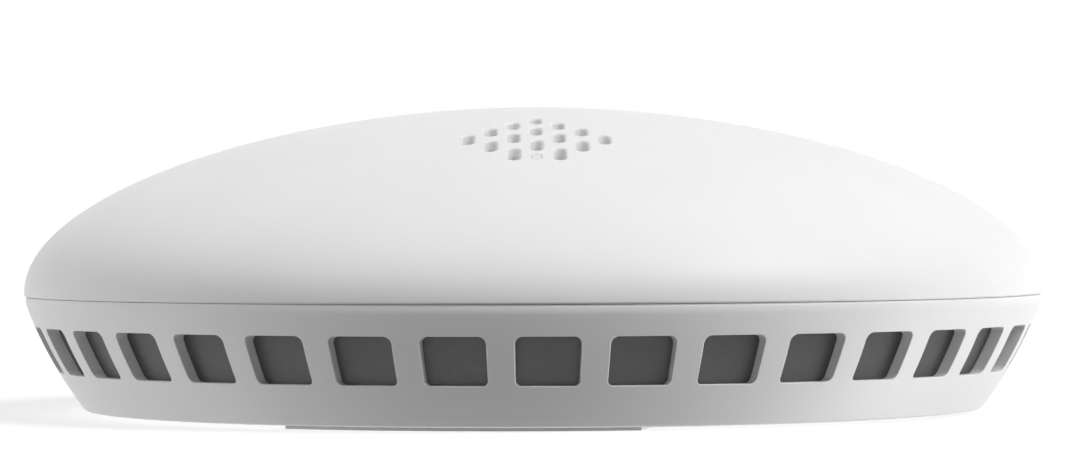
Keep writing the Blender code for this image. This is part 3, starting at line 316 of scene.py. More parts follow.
class Dome:
    """The dome's outer face, or a face under it, as heights over the plane of its rim."""

    SAMPLES = 6000

    def __init__(self, depth=0.0):
        self.side = -1.0 if depth else 1.0
        handles = ((0.0, APEX_Z), (DOME_CROWN, APEX_Z),
                   (DOME_RADIUS, RIM_Z + DOME_SHOULDER), (DOME_RADIUS, RIM_Z))
        a, b, c, d = (Vector(handle) for handle in handles)
        self.rows = []
        for i in range(self.SAMPLES + 1):
            t = i / self.SAMPLES
            s = 1.0 - t
            point = s**3 * a + 3 * s * s * t * b + 3 * s * t * t * c + t**3 * d
            slope = s * s * (b - a) + 2 * s * t * (c - b) + t * t * (d - c)
            normal = Vector((-slope.y, slope.x)).normalized()
            point -= depth * normal
            self.rows.append((point.x, point.y, normal.x, normal.y))
        self.radii = [row[0] for row in self.rows]

    def at(self, radius):
        """Height and normal at a radius."""
        i = min(max(bisect.bisect_right(self.radii, radius), 1), self.SAMPLES)
        low, high = self.rows[i - 1], self.rows[i]
        share = (radius - low[0]) / (high[0] - low[0])
        return [a + (b - a) * share for a, b in zip(low[1:], high[1:])]

    def run(self, start, end, steps):
        """Profile from one radius to another, its steps even along the curve's parameter."""
        first = bisect.bisect_left(self.radii, start)
        last = min(bisect.bisect_left(self.radii, end), self.SAMPLES)
        radii = [self.rows[round(first + (last - first) * i / steps)][0] for i in range(steps + 1)]
        radii[0], radii[-1] = start, end
        made = []
        for radius in radii:
            z, out, up = self.at(radius)
            made.append((radius, z, self.side * out, self.side * up))
        return made

    def height(self, u, v):
        return self.at(math.hypot(u, v))[0]

    def gradient(self, u, v):
        radius = math.hypot(u, v)
        _, out, up = self.at(radius)
        return -out / up * u / radius, -out / up * v / radius

    def place(self, u, v, h):
        return Vector((u, v, h))

    def direction(self, u, v, along):
        return Vector(along)

    def normal(self, u, v):
        gu, gv = self.gradient(u, v)
        return Vector((-gu, -gv, 1.0)).normalized() * self.side


class Skirt:
    """The skirt's outer face, or a face inside it, as radii over one window's cell."""

    MIDDLE = 62.0  # radius at which the cell's width is counted

    def __init__(self, inset=0.0):
        self.inset = inset
        self.side = -1.0 if inset else 1.0
        self.angle = 0.0

    def radius(self, z):
        t = (SKIRT_TOP_Z - z) / SKIRT_DEPTH
        taper = SKIRT_TOP_RADIUS - SKIRT_FOOT_RADIUS
        return SKIRT_TOP_RADIUS - taper * (SKIRT_LEAN * t + (1.0 - SKIRT_LEAN) * t * t) - self.inset

    def slope(self, z):
        t = (SKIRT_TOP_Z - z) / SKIRT_DEPTH
        taper = SKIRT_TOP_RADIUS - SKIRT_FOOT_RADIUS
        return taper * (SKIRT_LEAN + 2.0 * (1.0 - SKIRT_LEAN) * t) / SKIRT_DEPTH

    def run(self, high, low, steps):
        made = []
        for i in range(steps + 1):
            z = high + (low - high) * i / steps
            size = math.hypot(1.0, self.slope(z))
            made.append((self.radius(z), z, self.side / size, -self.side * self.slope(z) / size))
        return made

    def height(self, u, v):
        return self.radius(v)

    def gradient(self, u, v):
        return 0.0, self.slope(v)

    def axes(self, u):
        angle = math.radians(self.angle) + u / self.MIDDLE
        return Vector((-math.sin(angle), math.cos(angle), 0)), Vector((math.cos(angle), math.sin(angle), 0))

    def place(self, u, v, h):
        return self.axes(u)[1] * h + Vector((0, 0, v))

    def direction(self, u, v, along):
        across, out = self.axes(u)
        return across * along[0] + Vector((0, 0, along[1])) + out * along[2]

    def normal(self, u, v):
        return self.direction(u, v, (0.0, -self.slope(v), 1.0)).normalized() * self.side


class Flat:
    """A level face that looks up or down, as a field whose heights grow in a direction."""

    def __init__(self, z, grows, looks):
        self.z, self.grows, self.looks = z, grows, looks

    def height(self, u, v):
        return self.z * self.grows

    def gradient(self, u, v):
        return 0.0, 0.0

    def place(self, u, v, h):
        return Vector((u, v, h * self.grows))

    def direction(self, u, v, along):
        return Vector((along[0], along[1], along[2] * self.grows))

    def normal(self, u, v):
        return Vector((0.0, 0.0, self.looks))


# ---- Holes with rounded edges ----


def hole_outline(width, length, top_round, foot_round, steps, straight):
    """Outline of a rounded box about the origin with normals away from its middle."""
    x, y = width / 2, length / 2
    corners = (
        ((x - foot_round, foot_round - y), foot_round, -90),
        ((x - top_round, y - top_round), top_round, 0),
        ((top_round - x, y - top_round), top_round, 90),
        ((foot_round - x, foot_round - y), foot_round, 180),
    )
    outline = []
    for number, (centre, radius, start) in enumerate(corners):
        for i in range(steps + 1):
            angle = math.radians(start + 90.0 * i / steps)
            c, s = math.cos(angle), math.sin(angle)
            outline.append((centre[0] + radius * c, centre[1] + radius * s, c, s))
        after, turn = corners[(number + 1) % 4], math.radians(start + 90.0)
        c, s = math.cos(turn), math.sin(turn)
        end = (after[0][0] + after[1] * c, after[0][1] + after[1] * s)
        here = outline[-1]
        if math.dist(here[:2], end) > 1e-6:
            for i in range(1, straight):
                share = i / straight
                outline.append((here[0] + (end[0] - here[0]) * share,
                                here[1] + (end[1] - here[1]) * share, c, s))
        else:
            outline.pop()
    return outline


def track_outline(radii, angles, corner, step=2.5):
    """Outline of a slot that follows an arc, its corners rounded, with normals away from it."""
    inner, outer = radii
    start, end = angles
    outline = []

    def bend(radius, angle, first, last):
        centre = circle_point(radius, angle)
        for i in range(6):
            turn = math.radians(first + (last - first) * i / 5)
            c, s = math.cos(turn), math.sin(turn)
            outline.append((centre[0] + corner * c, centre[1] + corner * s, c, s))

    def sweep(radius, first, last, side):
        count = max(2, round(abs(last - first) / step))
        for i in range(1, count):
            turn = first + (last - first) * i / count
            c, s = circle_point(1.0, turn)
            outline.append((radius * c, radius * s, side * c, side * s))

    far = math.degrees(math.asin(corner / (outer - corner)))
    near = math.degrees(math.asin(corner / (inner + corner)))
    bend(outer - corner, start + far, start - 90.0, start + far)
    sweep(outer, start + far, end - far, 1.0)
    bend(outer - corner, end - far, end - far, end + 90.0)
    bend(inner + corner, end - near, end + 90.0, end - near + 180.0)
    sweep(inner, end - near, start + near, -1.0)
    bend(inner + corner, start + near, start + near + 180.0, start + 270.0)
    return outline


def circle_point(radius, angle):
    return radius * math.cos(math.radians(angle)), radius * math.sin(math.radians(angle))


def circle(radius, angles, place=(0.0, 0.0)):
    """The loop of a turned run's corners."""
    points = [circle_point(radius, angle) for angle in angles[:-1]]
    return [(x + place[0], y + place[1]) for x, y in points]


def moved(outline, u, v):
    return [(x + u, y + v, a, b) for x, y, a, b in outline]


def pocket(shell, outer, inner, outline, rounding, steps=5):
    """The wall of a hole and its rounded outer edge. Returns its loops in both faces."""
    rings = [[] for _ in range(steps + 2)]
    rim = []
    for u, v, a, b in outline:
        gu, gv = outer.gradient(u, v)
        lean = gu * a + gv * b
        tilt = math.atan(lean)
        centre = outer.height(u, v) + lean * rounding - rounding * math.hypot(1.0, lean)
        for k in range(steps + 1):
            angle = math.pi / 2 + tilt + (math.pi / 2 - tilt) * k / steps
            away = rounding + rounding * math.cos(angle)
            h = centre + rounding * math.sin(angle)
            at = (u + a * away, v + b * away)
            if k == 0:
                h = outer.height(*at)
                rim.append(at)
            along = (a * math.cos(angle), b * math.cos(angle), math.sin(angle))
            rings[k].append((outer.place(*at, h), outer.direction(*at, along)))
        rings[-1].append((outer.place(u, v, inner.height(u, v)), outer.direction(u, v, (-a, -b, 0.0))))
    shell.grid([[*ring, ring[0]] for ring in rings])
    return rim, [(u, v) for u, v, _, _ in outline]


def stud(shell, field, outline, rounding, foot, steps=5):
    """The wall of a raised shape, down to a height, and the rounded edge of its top."""
    rings = [[] for _ in range(steps + 2)]
    rim = []
    for u, v, a, b in outline:
        gu, gv = field.gradient(u, v)
        lean = gu * a + gv * b
        tilt = math.atan(lean)
        centre = field.height(u, v) - lean * rounding - rounding * math.hypot(1.0, lean)
        for k in range(steps + 1):
            angle = (math.pi / 2 + tilt) * (1.0 - k / steps)
            away = rounding * math.cos(angle) - rounding
            at = (u + a * away, v + b * away)
            h = centre + rounding * math.sin(angle)
            if k == 0:
                h = field.height(*at)
                rim.append(at)
            along = (a * math.cos(angle), b * math.cos(angle), math.sin(angle))
            rings[k].append((field.place(*at, h), field.direction(*at, along)))
        rings[-1].append((Vector((u, v, foot)), Vector((a, b, 0.0))))
    shell.grid([[*ring, ring[0]] for ring in rings])
    return rim, [(u, v) for u, v, _, _ in outline]


def inside(point, loop):
    """Whether a point lies in a loop."""
    x, y = point
    odd = False
    for (x0, y0), (x1, y1) in zip(loop, [*loop[1:], loop[0]]):
        if (y0 > y) != (y1 > y) and x < x0 + (x1 - x0) * (y - y0) / (y1 - y0):
            odd = not odd
    return odd


def clear_of(spots, loops, gap):
    """The spots inside the first loop that keep a gap from every corner of the loops."""
    near = [point for loop in loops for point in loop]
    kept = []
    for spot in spots:
        if not inside(spot, loops[0]) or any(inside(spot, loop) for loop in loops[1:]):
            continue
        if all(abs(x - spot[0]) > gap or abs(y - spot[1]) > gap for x, y in near):
            kept.append(spot)
    return kept


def fill(shell, field, boundary, holes, spots):
    """Covers a field between a boundary and holes with triangles."""
    points = [Vector(p) for loop in (boundary, *holes) for p in loop] + [Vector(p) for p in spots]
    edges, start = [], 0
    for loop in (boundary, *holes):
        edges += [(start + i, start + (i + 1) % len(loop)) for i in range(len(loop))]
        start += len(loop)
    whole = [list(range(len(boundary)))]
    verts, _, faces, *_ = delaunay_2d_cdt(points, edges, whole, 1, 1e-7)
    kept = []
    for face in faces:
        middle = sum((verts[i] for i in face), Vector((0.0, 0.0))) / len(face)
        if not any(inside(middle, hole) for hole in holes):
            kept.append(tuple(face))
    corners = [(field.place(x, y, field.height(x, y)), field.normal(x, y)) for x, y in verts]
    shell.add(corners, kept)


# ---- Dome cover ----


def grille_holes():
    """Centre, width, length and edge of each opening in the dome."""
    holes = []
    for row, count in enumerate(GRILLE_ROWS):
        out = GRILLE_START + row * GRILLE_ROW_PITCH
        for column in range(count):
            across = (2 * column - count + 1) * GRILLE_COLUMN_PITCH
            holes.append(((across, -out), SLOT_WIDTH, SLOT_LENGTH, SLOT_EDGE))
    holes.append(((0.0, -LED_OUT), LED_WIDTH, LED_LENGTH, LED_EDGE))
    return holes


def sector_loop(inner, outer, angles, radii):
    """The boundary of a field between two radii, with a corner at each angle and radius."""
    loop = [circle_point(outer, angle) for angle in angles]
    loop += [circle_point(radius, angles[-1]) for radius in reversed(radii)]
    loop += [circle_point(inner, angle) for angle in reversed(angles)]
    loop += [circle_point(radius, angles[0]) for radius in radii]
    return loop


def make_cover():
    shell = Shell()
    outer, inner = Dome(), Dome(COVER_WALL)
    near, far = GRILLE_PATCH
    span = turns(FRONT - GRILLE_SPAN, FRONT + GRILLE_SPAN)
    rest = turns(FRONT + GRILLE_SPAN, FRONT + 360.0 - GRILLE_SPAN)
    collar_foot = inner.at(COLLAR_BORE)[0] - COLLAR_DEPTH

    top = outer.run(BUTTON_HOLE + EDGE_ROUND, near, 14)
    field = outer.run(near, far, 22)
    side = outer.run(far, DOME_RADIUS, 44)
    edge_z, edge_out, edge_up = outer.at(BUTTON_HOLE + EDGE_ROUND)
    hole_edge = curve((BUTTON_HOLE + EDGE_ROUND, edge_z - EDGE_ROUND), EDGE_ROUND, 180, 90)
    hole_edge[-1] = (BUTTON_HOLE + EDGE_ROUND, edge_z, edge_out, edge_up)
    lip = curve((DOME_RADIUS - LIP_ROUND, LIP_Z + LIP_ROUND), LIP_ROUND, 0, -90)
    ledge_z = inner.at(COLLAR_BORE)[0]
    for run in (
        hole_edge,
        top,
        side,
        *line((DOME_RADIUS, RIM_Z), (DOME_RADIUS, LIP_Z + LIP_ROUND)),
        lip,
        *line((DOME_RADIUS - LIP_ROUND, LIP_Z), (SPIGOT_RADIUS, LIP_Z), (SPIGOT_RADIUS, SPIGOT_FOOT),
              (SPIGOT_RADIUS - SPIGOT_WALL, SPIGOT_FOOT),
              (SPIGOT_RADIUS - SPIGOT_WALL, inner.at(SPIGOT_RADIUS - SPIGOT_WALL)[0])),
        inner.run(far, SPIGOT_RADIUS - SPIGOT_WALL, 20),
        inner.run(COLLAR_RADIUS, near, 6),
        *line((COLLAR_RADIUS, inner.at(COLLAR_RADIUS)[0]), (COLLAR_RADIUS, collar_foot),
              (COLLAR_BORE, collar_foot), (COLLAR_BORE, ledge_z), (BUTTON_HOLE, ledge_z),
              (BUTTON_HOLE, edge_z - EDGE_ROUND)),
    ):
        shell.turn(run, ALL_ROUND)
    inner_field = inner.run(near, far, 22)
    shell.turn(field, rest)
    shell.turn(inner_field, rest)

    rims, feet = [], []
    for (x, y), width, length, edge in grille_holes():
        outline = hole_outline(width, length, width / 2, width / 2, 8, 5)
        rim, foot = pocket(shell, outer, inner, moved(outline, x, y), edge)
        rims.append(rim)
        feet.append(foot)
    spots = []
    for row in range(24):
        radius = near + (row + 0.5) * (far - near) / 24
        count = round(math.radians(2 * GRILLE_SPAN) * radius / 1.1)
        for i in range(count):
            angle = math.radians(FRONT - GRILLE_SPAN + 2 * GRILLE_SPAN * (i + 0.5) / count)
            spots.append((radius * math.cos(angle), radius * math.sin(angle)))
    for face, run, loops in ((outer, field, rims), (inner, inner_field, feet)):
        boundary = sector_loop(near, far, span, [row[0] for row in run[1:-1]])
        fill(shell, face, boundary, loops, clear_of(spots, [boundary, *loops], 0.35))
    for angle in POST_ANGLES:
        top = outer.at(POST_CIRCLE + POST_RADIUS)[0] - EDGE_ROUND
        for run in line((0.0, top), (POST_RADIUS, top), (POST_RADIUS, POST_FOOT_Z),
                        (SCREW_BORE, POST_FOOT_Z), (SCREW_BORE, POST_PILOT_Z), (0.0, POST_PILOT_Z)):
            shell.turn(run, SMALL_TURN, circle_point(POST_CIRCLE, angle))
    cover = shell.make("cover", "detector", "white_plastic")
    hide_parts("dome_cover")
    return cover


def make_button():
    shell = Shell()
    outer = Dome()
    top_z, out, up = outer.at(BUTTON_RADIUS - BUTTON_EDGE)
    edge = curve((BUTTON_RADIUS - BUTTON_EDGE, top_z - BUTTON_EDGE), BUTTON_EDGE, 90, 0)
    edge[0] = (BUTTON_RADIUS - BUTTON_EDGE, top_z, out, up)
    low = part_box("test_button")[0].z / METRES
    foot = Dome(COVER_WALL).at(COLLAR_BORE)[0] - FLANGE_DROP
    crown = outer.run(0.0, BUTTON_RADIUS - BUTTON_EDGE, 12)
    for run in (
        crown,
        edge,
        *line((BUTTON_RADIUS, top_z - BUTTON_EDGE), (BUTTON_RADIUS, foot + FLANGE_WALL),
              (FLANGE_RADIUS, foot + FLANGE_WALL), (FLANGE_RADIUS, foot), (STEM_RADIUS, foot),
              (STEM_RADIUS, low), (0.0, low)),
    ):
        shell.turn(run, ALL_ROUND[::2])
    button = shell.make("button", "test_button", "white_plastic")
    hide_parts("test_button")
    return button


def make_lens():
    """The light pipe, with its rounded tip just under the dome's surface."""
    shell = Shell()
    surface = Dome(LENS_SINK)
    surface.side = 1.0
    shoulder = Dome(COVER_WALL).at(LED_OUT + PIPE_RADIUS)[0] - PIPE_GAP
    width, length = LED_WIDTH - 2 * LENS_GAP, LED_LENGTH - 2 * LENS_GAP
    outline = moved(hole_outline(width, length, width / 2, width / 2, 8, 5), 0.0, -LED_OUT)
    rim, foot = stud(shell, surface, outline, LENS_ROUND, shoulder)
    spots = [(0.1 * i, -LED_OUT + 0.1 * j) for i in range(-4, 5) for j in range(-8, 9)]
    fill(shell, surface, rim, [], clear_of(spots, [rim], 0.05))
    place = (0.0, -LED_OUT)
    fill(shell, Flat(shoulder, 1.0, 1.0), circle(PIPE_RADIUS, SMALL_TURN, place), [foot], [])
    for run in line((PIPE_RADIUS, shoulder), (PIPE_RADIUS, PIPE_FOOT_Z), (0.0, PIPE_FOOT_Z)):
        shell.turn(run, SMALL_TURN, place)
    lens = shell.make("lens", "detector", "clear_plastic")
    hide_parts("light_pipe")
    return lens


# ---- Rear housing and its lining ----


def add_floor(shell, groove_wall):
    """The housing's floor, with its screw bosses and the slot that the slider runs in."""
    below, above = Flat(RECESS_Z, -1.0, -1.0), Flat(FLOOR_Z, -1.0, 1.0)
    track = track_outline(TRACK_RADII, TRACK_ANGLES, TRACK_ROUND)
    rim, foot = pocket(shell, below, above, track, SMALL_ROUND)
    under, over = [rim], [foot]
    for angle in POST_ANGLES:
        place = circle_point(POST_CIRCLE, angle)
        mouth = HEAD_BORE + SMALL_ROUND
        for run in (
            curve((mouth, RECESS_Z + SMALL_ROUND), SMALL_ROUND, -90, -180),
            *line((HEAD_BORE, RECESS_Z + SMALL_ROUND), (HEAD_BORE, HEAD_SEAT_Z),
                  (SCREW_BORE, HEAD_SEAT_Z), (SCREW_BORE, COVER_BOSS_Z),
                  (COVER_BOSS_RADIUS, COVER_BOSS_Z), (COVER_BOSS_RADIUS, FLOOR_Z)),
        ):
            shell.turn(run, SMALL_TURN, place)
        under.append(circle(mouth, SMALL_TURN, place))
        over.append(circle(COVER_BOSS_RADIUS, SMALL_TURN, place))
    for angle in BOARD_BOSS_ANGLES:
        place = circle_point(BOARD_BOSS_CIRCLE, angle)
        for run in line((0.0, BOARD_PILOT_Z), (BOARD_PILOT, BOARD_PILOT_Z), (BOARD_PILOT, BOARD_BOSS_Z),
                        (BOARD_BOSS_RADIUS, BOARD_BOSS_Z), (BOARD_BOSS_RADIUS, FLOOR_Z)):
            shell.turn(run, SMALL_TURN, place)
        over.append(circle(BOARD_BOSS_RADIUS, SMALL_TURN, place))
    spots = [circle_point(4.0 * ring, 360.0 * i / (6 * ring) + 3.0) for ring in range(1, 13)
             for i in range(6 * ring)]
    for face, radius, loops in ((below, RECESS_RADIUS, under), (above, groove_wall, over)):
        boundary = circle(radius, WINDOW_ROUND)
        fill(shell, face, boundary, loops, clear_of(spots, [boundary, *loops], 0.8))


def add_ledges(shell):
    """Ledges on roots under the groove's ceiling, which pass behind the bracket's lugs."""
    root, back = RECESS_RADIUS + EDGE_ROUND, RECESS_RADIUS + FLOOR_WALL
    sunk = GROOVE_Z + SMALL_ROUND
    profile = [(LEDGE_RADIUS, FOOT_Z), (LEDGE_RADIUS, LEDGE_TOP_Z), (root, LEDGE_TOP_Z), (root, sunk),
               (back, sunk), (back, FOOT_Z)]
    runs = soft_loop(profile, LEDGE_ROUND)
    for angle in LUG_ANGLES:
        start, end = angle - LEDGE_HALF_ANGLE, angle + LEDGE_HALF_ANGLE
        for run in runs:
            shell.turn(run, turns(start, end))
        shell.cap(runs, start, -1.0)
        shell.cap(runs, end, 1.0)


def make_housing():
    shell = Shell()
    outer, inner = Skirt(), Skirt(SKIRT_WALL)
    low, high = WINDOW_BAND
    reach = SKIRT_FOOT_ROUND
    foot_z = FOOT_Z + reach
    for _ in range(6):
        foot_lean = math.degrees(math.atan(outer.slope(foot_z)))
        foot_z = FOOT_Z + reach * (1.0 - math.sin(math.radians(foot_lean)))
    foot_centre = (outer.radius(foot_z) - reach * math.cos(math.radians(foot_lean)), FOOT_Z + reach)
    foot = curve(foot_centre, reach, -foot_lean, -90, 8)

    bend_z = SEAM_Z - SEAM_ROUND - (SEAM_BEND - SEAM_ROUND) * math.sin(math.radians(SEAM_TURN))
    top_z = bend_z
    for _ in range(6):
        top_lean = math.degrees(math.atan(outer.slope(top_z)))
        top_z = bend_z - SEAM_BEND * math.sin(math.radians(top_lean))
    bend_centre = Vector((outer.radius(top_z) - SEAM_BEND * math.cos(math.radians(top_lean)), bend_z))
    top_centre = bend_centre + (SEAM_BEND - SEAM_ROUND) * Vector(circle_point(1.0, SEAM_TURN))
    bend = curve(bend_centre, SEAM_BEND, SEAM_TURN, -top_lean, 10)
    bend[-1] = (outer.radius(top_z), top_z, *bend[-1][2:])

    groove_wall = RECESS_RADIUS + FLOOR_WALL
    inner_foot = inner.radius(GROOVE_FLOOR_Z)
    for run in (
        *line((inner.radius(SKIRT_TOP_Z), SKIRT_TOP_Z), (inner.radius(SKIRT_TOP_Z), LIP_Z - TONGUE_GAP),
              (TONGUE_RADIUS, LIP_Z - TONGUE_GAP), (TONGUE_RADIUS, SEAM_Z), (top_centre.x, SEAM_Z)),
        curve(top_centre, SEAM_ROUND, 90, SEAM_TURN, 4),
        bend,
        outer.run(top_z, high, 6),
        outer.run(low, foot_z, 8),
        foot,
        *line((foot_centre[0], FOOT_Z), (GROOVE_RADIUS, FOOT_Z), (GROOVE_RADIUS, GROOVE_Z),
              (RECESS_RADIUS, GROOVE_Z), (RECESS_RADIUS, RECESS_Z)),
        *line((groove_wall, FLOOR_Z), (groove_wall, GROOVE_FLOOR_Z), (inner_foot, GROOVE_FLOOR_Z)),
        inner.run(low, GROOVE_FLOOR_Z, 4),
        inner.run(SKIRT_TOP_Z, high, 4),
    ):
        shell.turn(run, WINDOW_ROUND)

    width = 2 * math.pi * Skirt.MIDDLE / WINDOW_COUNT
    middle = (WINDOW_TOP_Z + WINDOW_FOOT_Z) / 2
    opening = WINDOW_WIDTH * Skirt.MIDDLE / outer.radius(middle)
    outline = hole_outline(opening, WINDOW_TOP_Z - WINDOW_FOOT_Z, WINDOW_TOP_ROUND,
                           WINDOW_FOOT_ROUND, 6, 8)
    outline = moved(outline, 0.0, middle)
    columns, rows = 8, 10
    us = [width * (i / columns - 0.5) for i in range(columns + 1)]
    vs = [low + (high - low) * i / rows for i in range(rows + 1)]
    boundary = [(u, low) for u in us] + [(us[-1], v) for v in vs[1:]]
    boundary += [(u, high) for u in us[-2::-1]] + [(us[0], v) for v in vs[-2:0:-1]]
    spots = [(width * ((i + 0.5) / 12 - 0.5), low + (high - low) * (j + 0.5) / 12)
             for i in range(12) for j in range(12)]
    for cell in range(WINDOW_COUNT):
        outer.angle = inner.angle = FRONT + WINDOW_PHASE + 360.0 / WINDOW_COUNT * cell
        rim, foot_loop = pocket(shell, outer, inner, outline, WINDOW_EDGE)
        if cell == 0:
            loops = [(outer, rim, clear_of(spots, [boundary, rim], 0.25)),
                     (inner, foot_loop, clear_of(spots, [boundary, foot_loop], 0.25))]
        for face, loop, loose in loops:
            fill(shell, face, boundary, [loop], loose)
    add_floor(shell, groove_wall)
    add_ledges(shell)
    housing = shell.make("housing", "detector", "white_plastic")
    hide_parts("rear_housing")
    return housing


def make_grip_lip():
    """The outer lip of the bracket's grip tab, which shows just under the skirt's foot."""
    shell = Shell()
    profile = [(GRIP_ROOT, GRIP_FOOT_Z), (GRIP_ROOT, GRIP_TOP_Z), (GRIP_RADIUS, GRIP_TOP_Z),
               (GRIP_RADIUS, GRIP_FOOT_Z)]
    runs = soft_loop(profile, GRIP_ROUND)
    start, end = GRIP_ANGLES
    for run in runs:
        shell.turn(run, turns(start, end))
    shell.cap(runs, start, -1.0)
    shell.cap(runs, end, 1.0)
    return shell.make("grip_lip", "bracket", "white_plastic")


def make_screen():
    """The lining behind the windows, its face stepped in fine upright rows."""
    shell = Shell()
    outer, inner = Skirt(SKIRT_WALL + SCREEN_GAP), Skirt(SKIRT_WALL + SCREEN_BACK)
    low, high = SCREEN_BAND
    steps = []
    for i in range(SCREEN_ROWS):
        top = high + (low - high) * i / SCREEN_ROWS
        foot = high + (low - high) * (i + 1) / SCREEN_ROWS
        radius = outer.radius((top + foot) / 2)
        steps += [(radius, top), (radius, foot)]
    for run in (
        *line(*steps, (inner.radius(low), low)),
        inner.run(low, high, 4),
        *line((inner.radius(high), high), steps[0]),
    ):
        shell.turn(run, ALL_ROUND)
    screen = shell.make("screen", "detector", "dark_mesh")
    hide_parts("insect_screen")
    return screen


# ---- Materials ----


class Finish:
    """A procedural material: colour, roughness and relief from noise in the object's own space."""

    def __init__(self, name):
        self.material = bpy.data.materials.new(name)
        self.material.use_nodes = True
        self.tree = self.material.node_tree
        self.shader = self.tree.nodes["Principled BSDF"]
        self.spot = self.node("ShaderNodeTexCoord").outputs["Object"]

    def node(self, kind, **values):
        made = self.tree.nodes.new(kind)
        for key, value in values.items():
            if key in made.inputs:
                made.inputs[key].default_value = value
            else:
                setattr(made, key, value)
        return made

    def link(self, start, end):
        self.tree.links.new(start, end)

    def noise(self, size, detail, stretch=None):
        """Noise whose features are about a size in millimetres."""
        made = self.node("ShaderNodeTexNoise", Scale=1.0 / (size * METRES), Detail=detail, Roughness=0.5)
        source = self.spot
        if stretch:
            mapping = self.node("ShaderNodeMapping", Scale=stretch)
            self.link(source, mapping.inputs["Vector"])
            source = mapping.outputs["Vector"]
        self.link(source, made.inputs["Vector"])
        return made.outputs["Fac"]

    def colours(self, value, low, high, start=0.3, end=0.7):
        ramp = self.node("ShaderNodeValToRGB")
        ramp.color_ramp.elements[0].position = start
        ramp.color_ramp.elements[1].position = end
        ramp.color_ramp.elements[0].color = (*low, 1.0)
        ramp.color_ramp.elements[1].color = (*high, 1.0)
        self.link(value, ramp.inputs["Fac"])
        self.link(ramp.outputs["Color"], self.shader.inputs["Base Color"])

    def roughness(self, value, low, high):
        spread = self.node("ShaderNodeMapRange")
        spread.inputs["From Min"].default_value = 0.3
        spread.inputs["From Max"].default_value = 0.7
        spread.inputs["To Min"].default_value = low
        spread.inputs["To Max"].default_value = high
        self.link(value, spread.inputs["Value"])
        self.link(spread.outputs["Result"], self.shader.inputs["Roughness"])

    def relief(self, value, depth):
        """Bump whose height is a depth in millimetres."""
        bump = self.node("ShaderNodeBump", Strength=1.0, Distance=depth * METRES)
        self.link(value, bump.inputs["Height"])
        self.link(bump.outputs["Normal"], self.shader.inputs["Normal"])

    def metal(self):
        self.shader.inputs["Metallic"].default_value = 1.0


def moulded(name, low, high, roughness, grain=0.25, depth=0.004, specular=0.5):
    """Moulded plastic: faint blotches in the colour, a fine satin grain."""
    finish = Finish(name)
    finish.colours(finish.noise(14.0, 4.0), low, high)
    finish.roughness(finish.noise(3.0, 5.0), roughness - 0.03, roughness + 0.04)
    finish.relief(finish.noise(grain, 2.0), depth)
    finish.shader.inputs["Specular IOR Level"].default_value = specular
    return finish.material


def sheet_metal(name, low, high, roughness):
    finish = Finish(name)
    finish.colours(finish.noise(2.0, 4.0), low, high)
    finish.roughness(finish.noise(0.8, 4.0, stretch=(8.0, 1.0, 1.0)), roughness - 0.06, roughness + 0.1)
    finish.relief(finish.noise(0.3, 3.0, stretch=(10.0, 1.0, 1.0)), 0.003)
    finish.metal()
    return finish.material


def woven(name, gap, thread, pitch, roughness):
    """Fine mesh: threads round the object's axis and along it, a little lighter than their gaps."""
    finish = Finish(name)
    spot = finish.node("ShaderNodeSeparateXYZ")
    finish.link(finish.spot, spot.inputs[0])
    turn = finish.node("ShaderNodeMath", operation="ARCTAN2")
    finish.link(spot.outputs["Y"], turn.inputs[0])
    finish.link(spot.outputs["X"], turn.inputs[1])
    waves = []
    for way, rate in ((turn.outputs[0], round(2 * math.pi * Skirt.MIDDLE / pitch)),
                      (spot.outputs["Z"], 2 * math.pi / (pitch * METRES))):
        scaled = finish.node("ShaderNodeMath", operation="MULTIPLY")
        scaled.inputs[1].default_value = rate
        wave = finish.node("ShaderNodeMath", operation="COSINE")
        finish.link(way, scaled.inputs[0])
        finish.link(scaled.outputs[0], wave.inputs[0])
        waves.append(wave.outputs[0])
    threads = finish.node("ShaderNodeMath", operation="MAXIMUM")
    finish.link(waves[0], threads.inputs[0])
    finish.link(waves[1], threads.inputs[1])
    finish.colours(threads.outputs[0], gap, thread, 0.0, 1.0)
    finish.roughness(finish.noise(1.0, 4.0), roughness - 0.05, roughness + 0.05)
    finish.relief(threads.outputs[0], pitch / 60)
    finish.shader.inputs["Specular IOR Level"].default_value = 0.9
    return finish.material


def make_finishes():
    return {
        "white_plastic": moulded("white_plastic", (0.85, 0.853, 0.858), (0.87, 0.873, 0.878), 0.42,
                                 specular=0.35),
        "dark_mesh": woven("dark_mesh", (0.058, 0.058, 0.059), (0.068, 0.068, 0.069), 0.3, 0.45),
        "green_board": moulded("green_board", (0.015, 0.13, 0.05), (0.03, 0.19, 0.08), 0.35, 0.5, 0.02),
        "grey_plastic": moulded("grey_plastic", (0.22, 0.22, 0.23), (0.27, 0.27, 0.28), 0.5),
        "black_plastic": moulded("black_plastic", (0.02, 0.02, 0.02), (0.035, 0.035, 0.035), 0.5),
        "steel": sheet_metal("steel", (0.56, 0.56, 0.57), (0.66, 0.66, 0.66), 0.3),
        "nickel": sheet_metal("nickel", (0.6, 0.57, 0.52), (0.7, 0.67, 0.62), 0.28),
        "brass": sheet_metal("brass", (0.72, 0.52, 0.2), (0.82, 0.62, 0.3), 0.3),
        "ceramic": moulded("ceramic", (0.68, 0.66, 0.6), (0.76, 0.74, 0.68), 0.6, 0.1, 0.005),
        "copper": sheet_metal("copper", (0.65, 0.28, 0.12), (0.78, 0.38, 0.2), 0.35),
        "cell_sleeve": moulded("cell_sleeve", (0.04, 0.1, 0.3), (0.06, 0.14, 0.4), 0.35, 1.0, 0.01),
        "clear_plastic": moulded("clear_plastic", (0.7, 0.73, 0.73), (0.78, 0.8, 0.8), 0.15, 0.5, 0.002),
        "green_lens": moulded("green_lens", (0.15, 0.5, 0.25), (0.25, 0.65, 0.35), 0.15, 0.5, 0.002),
    }


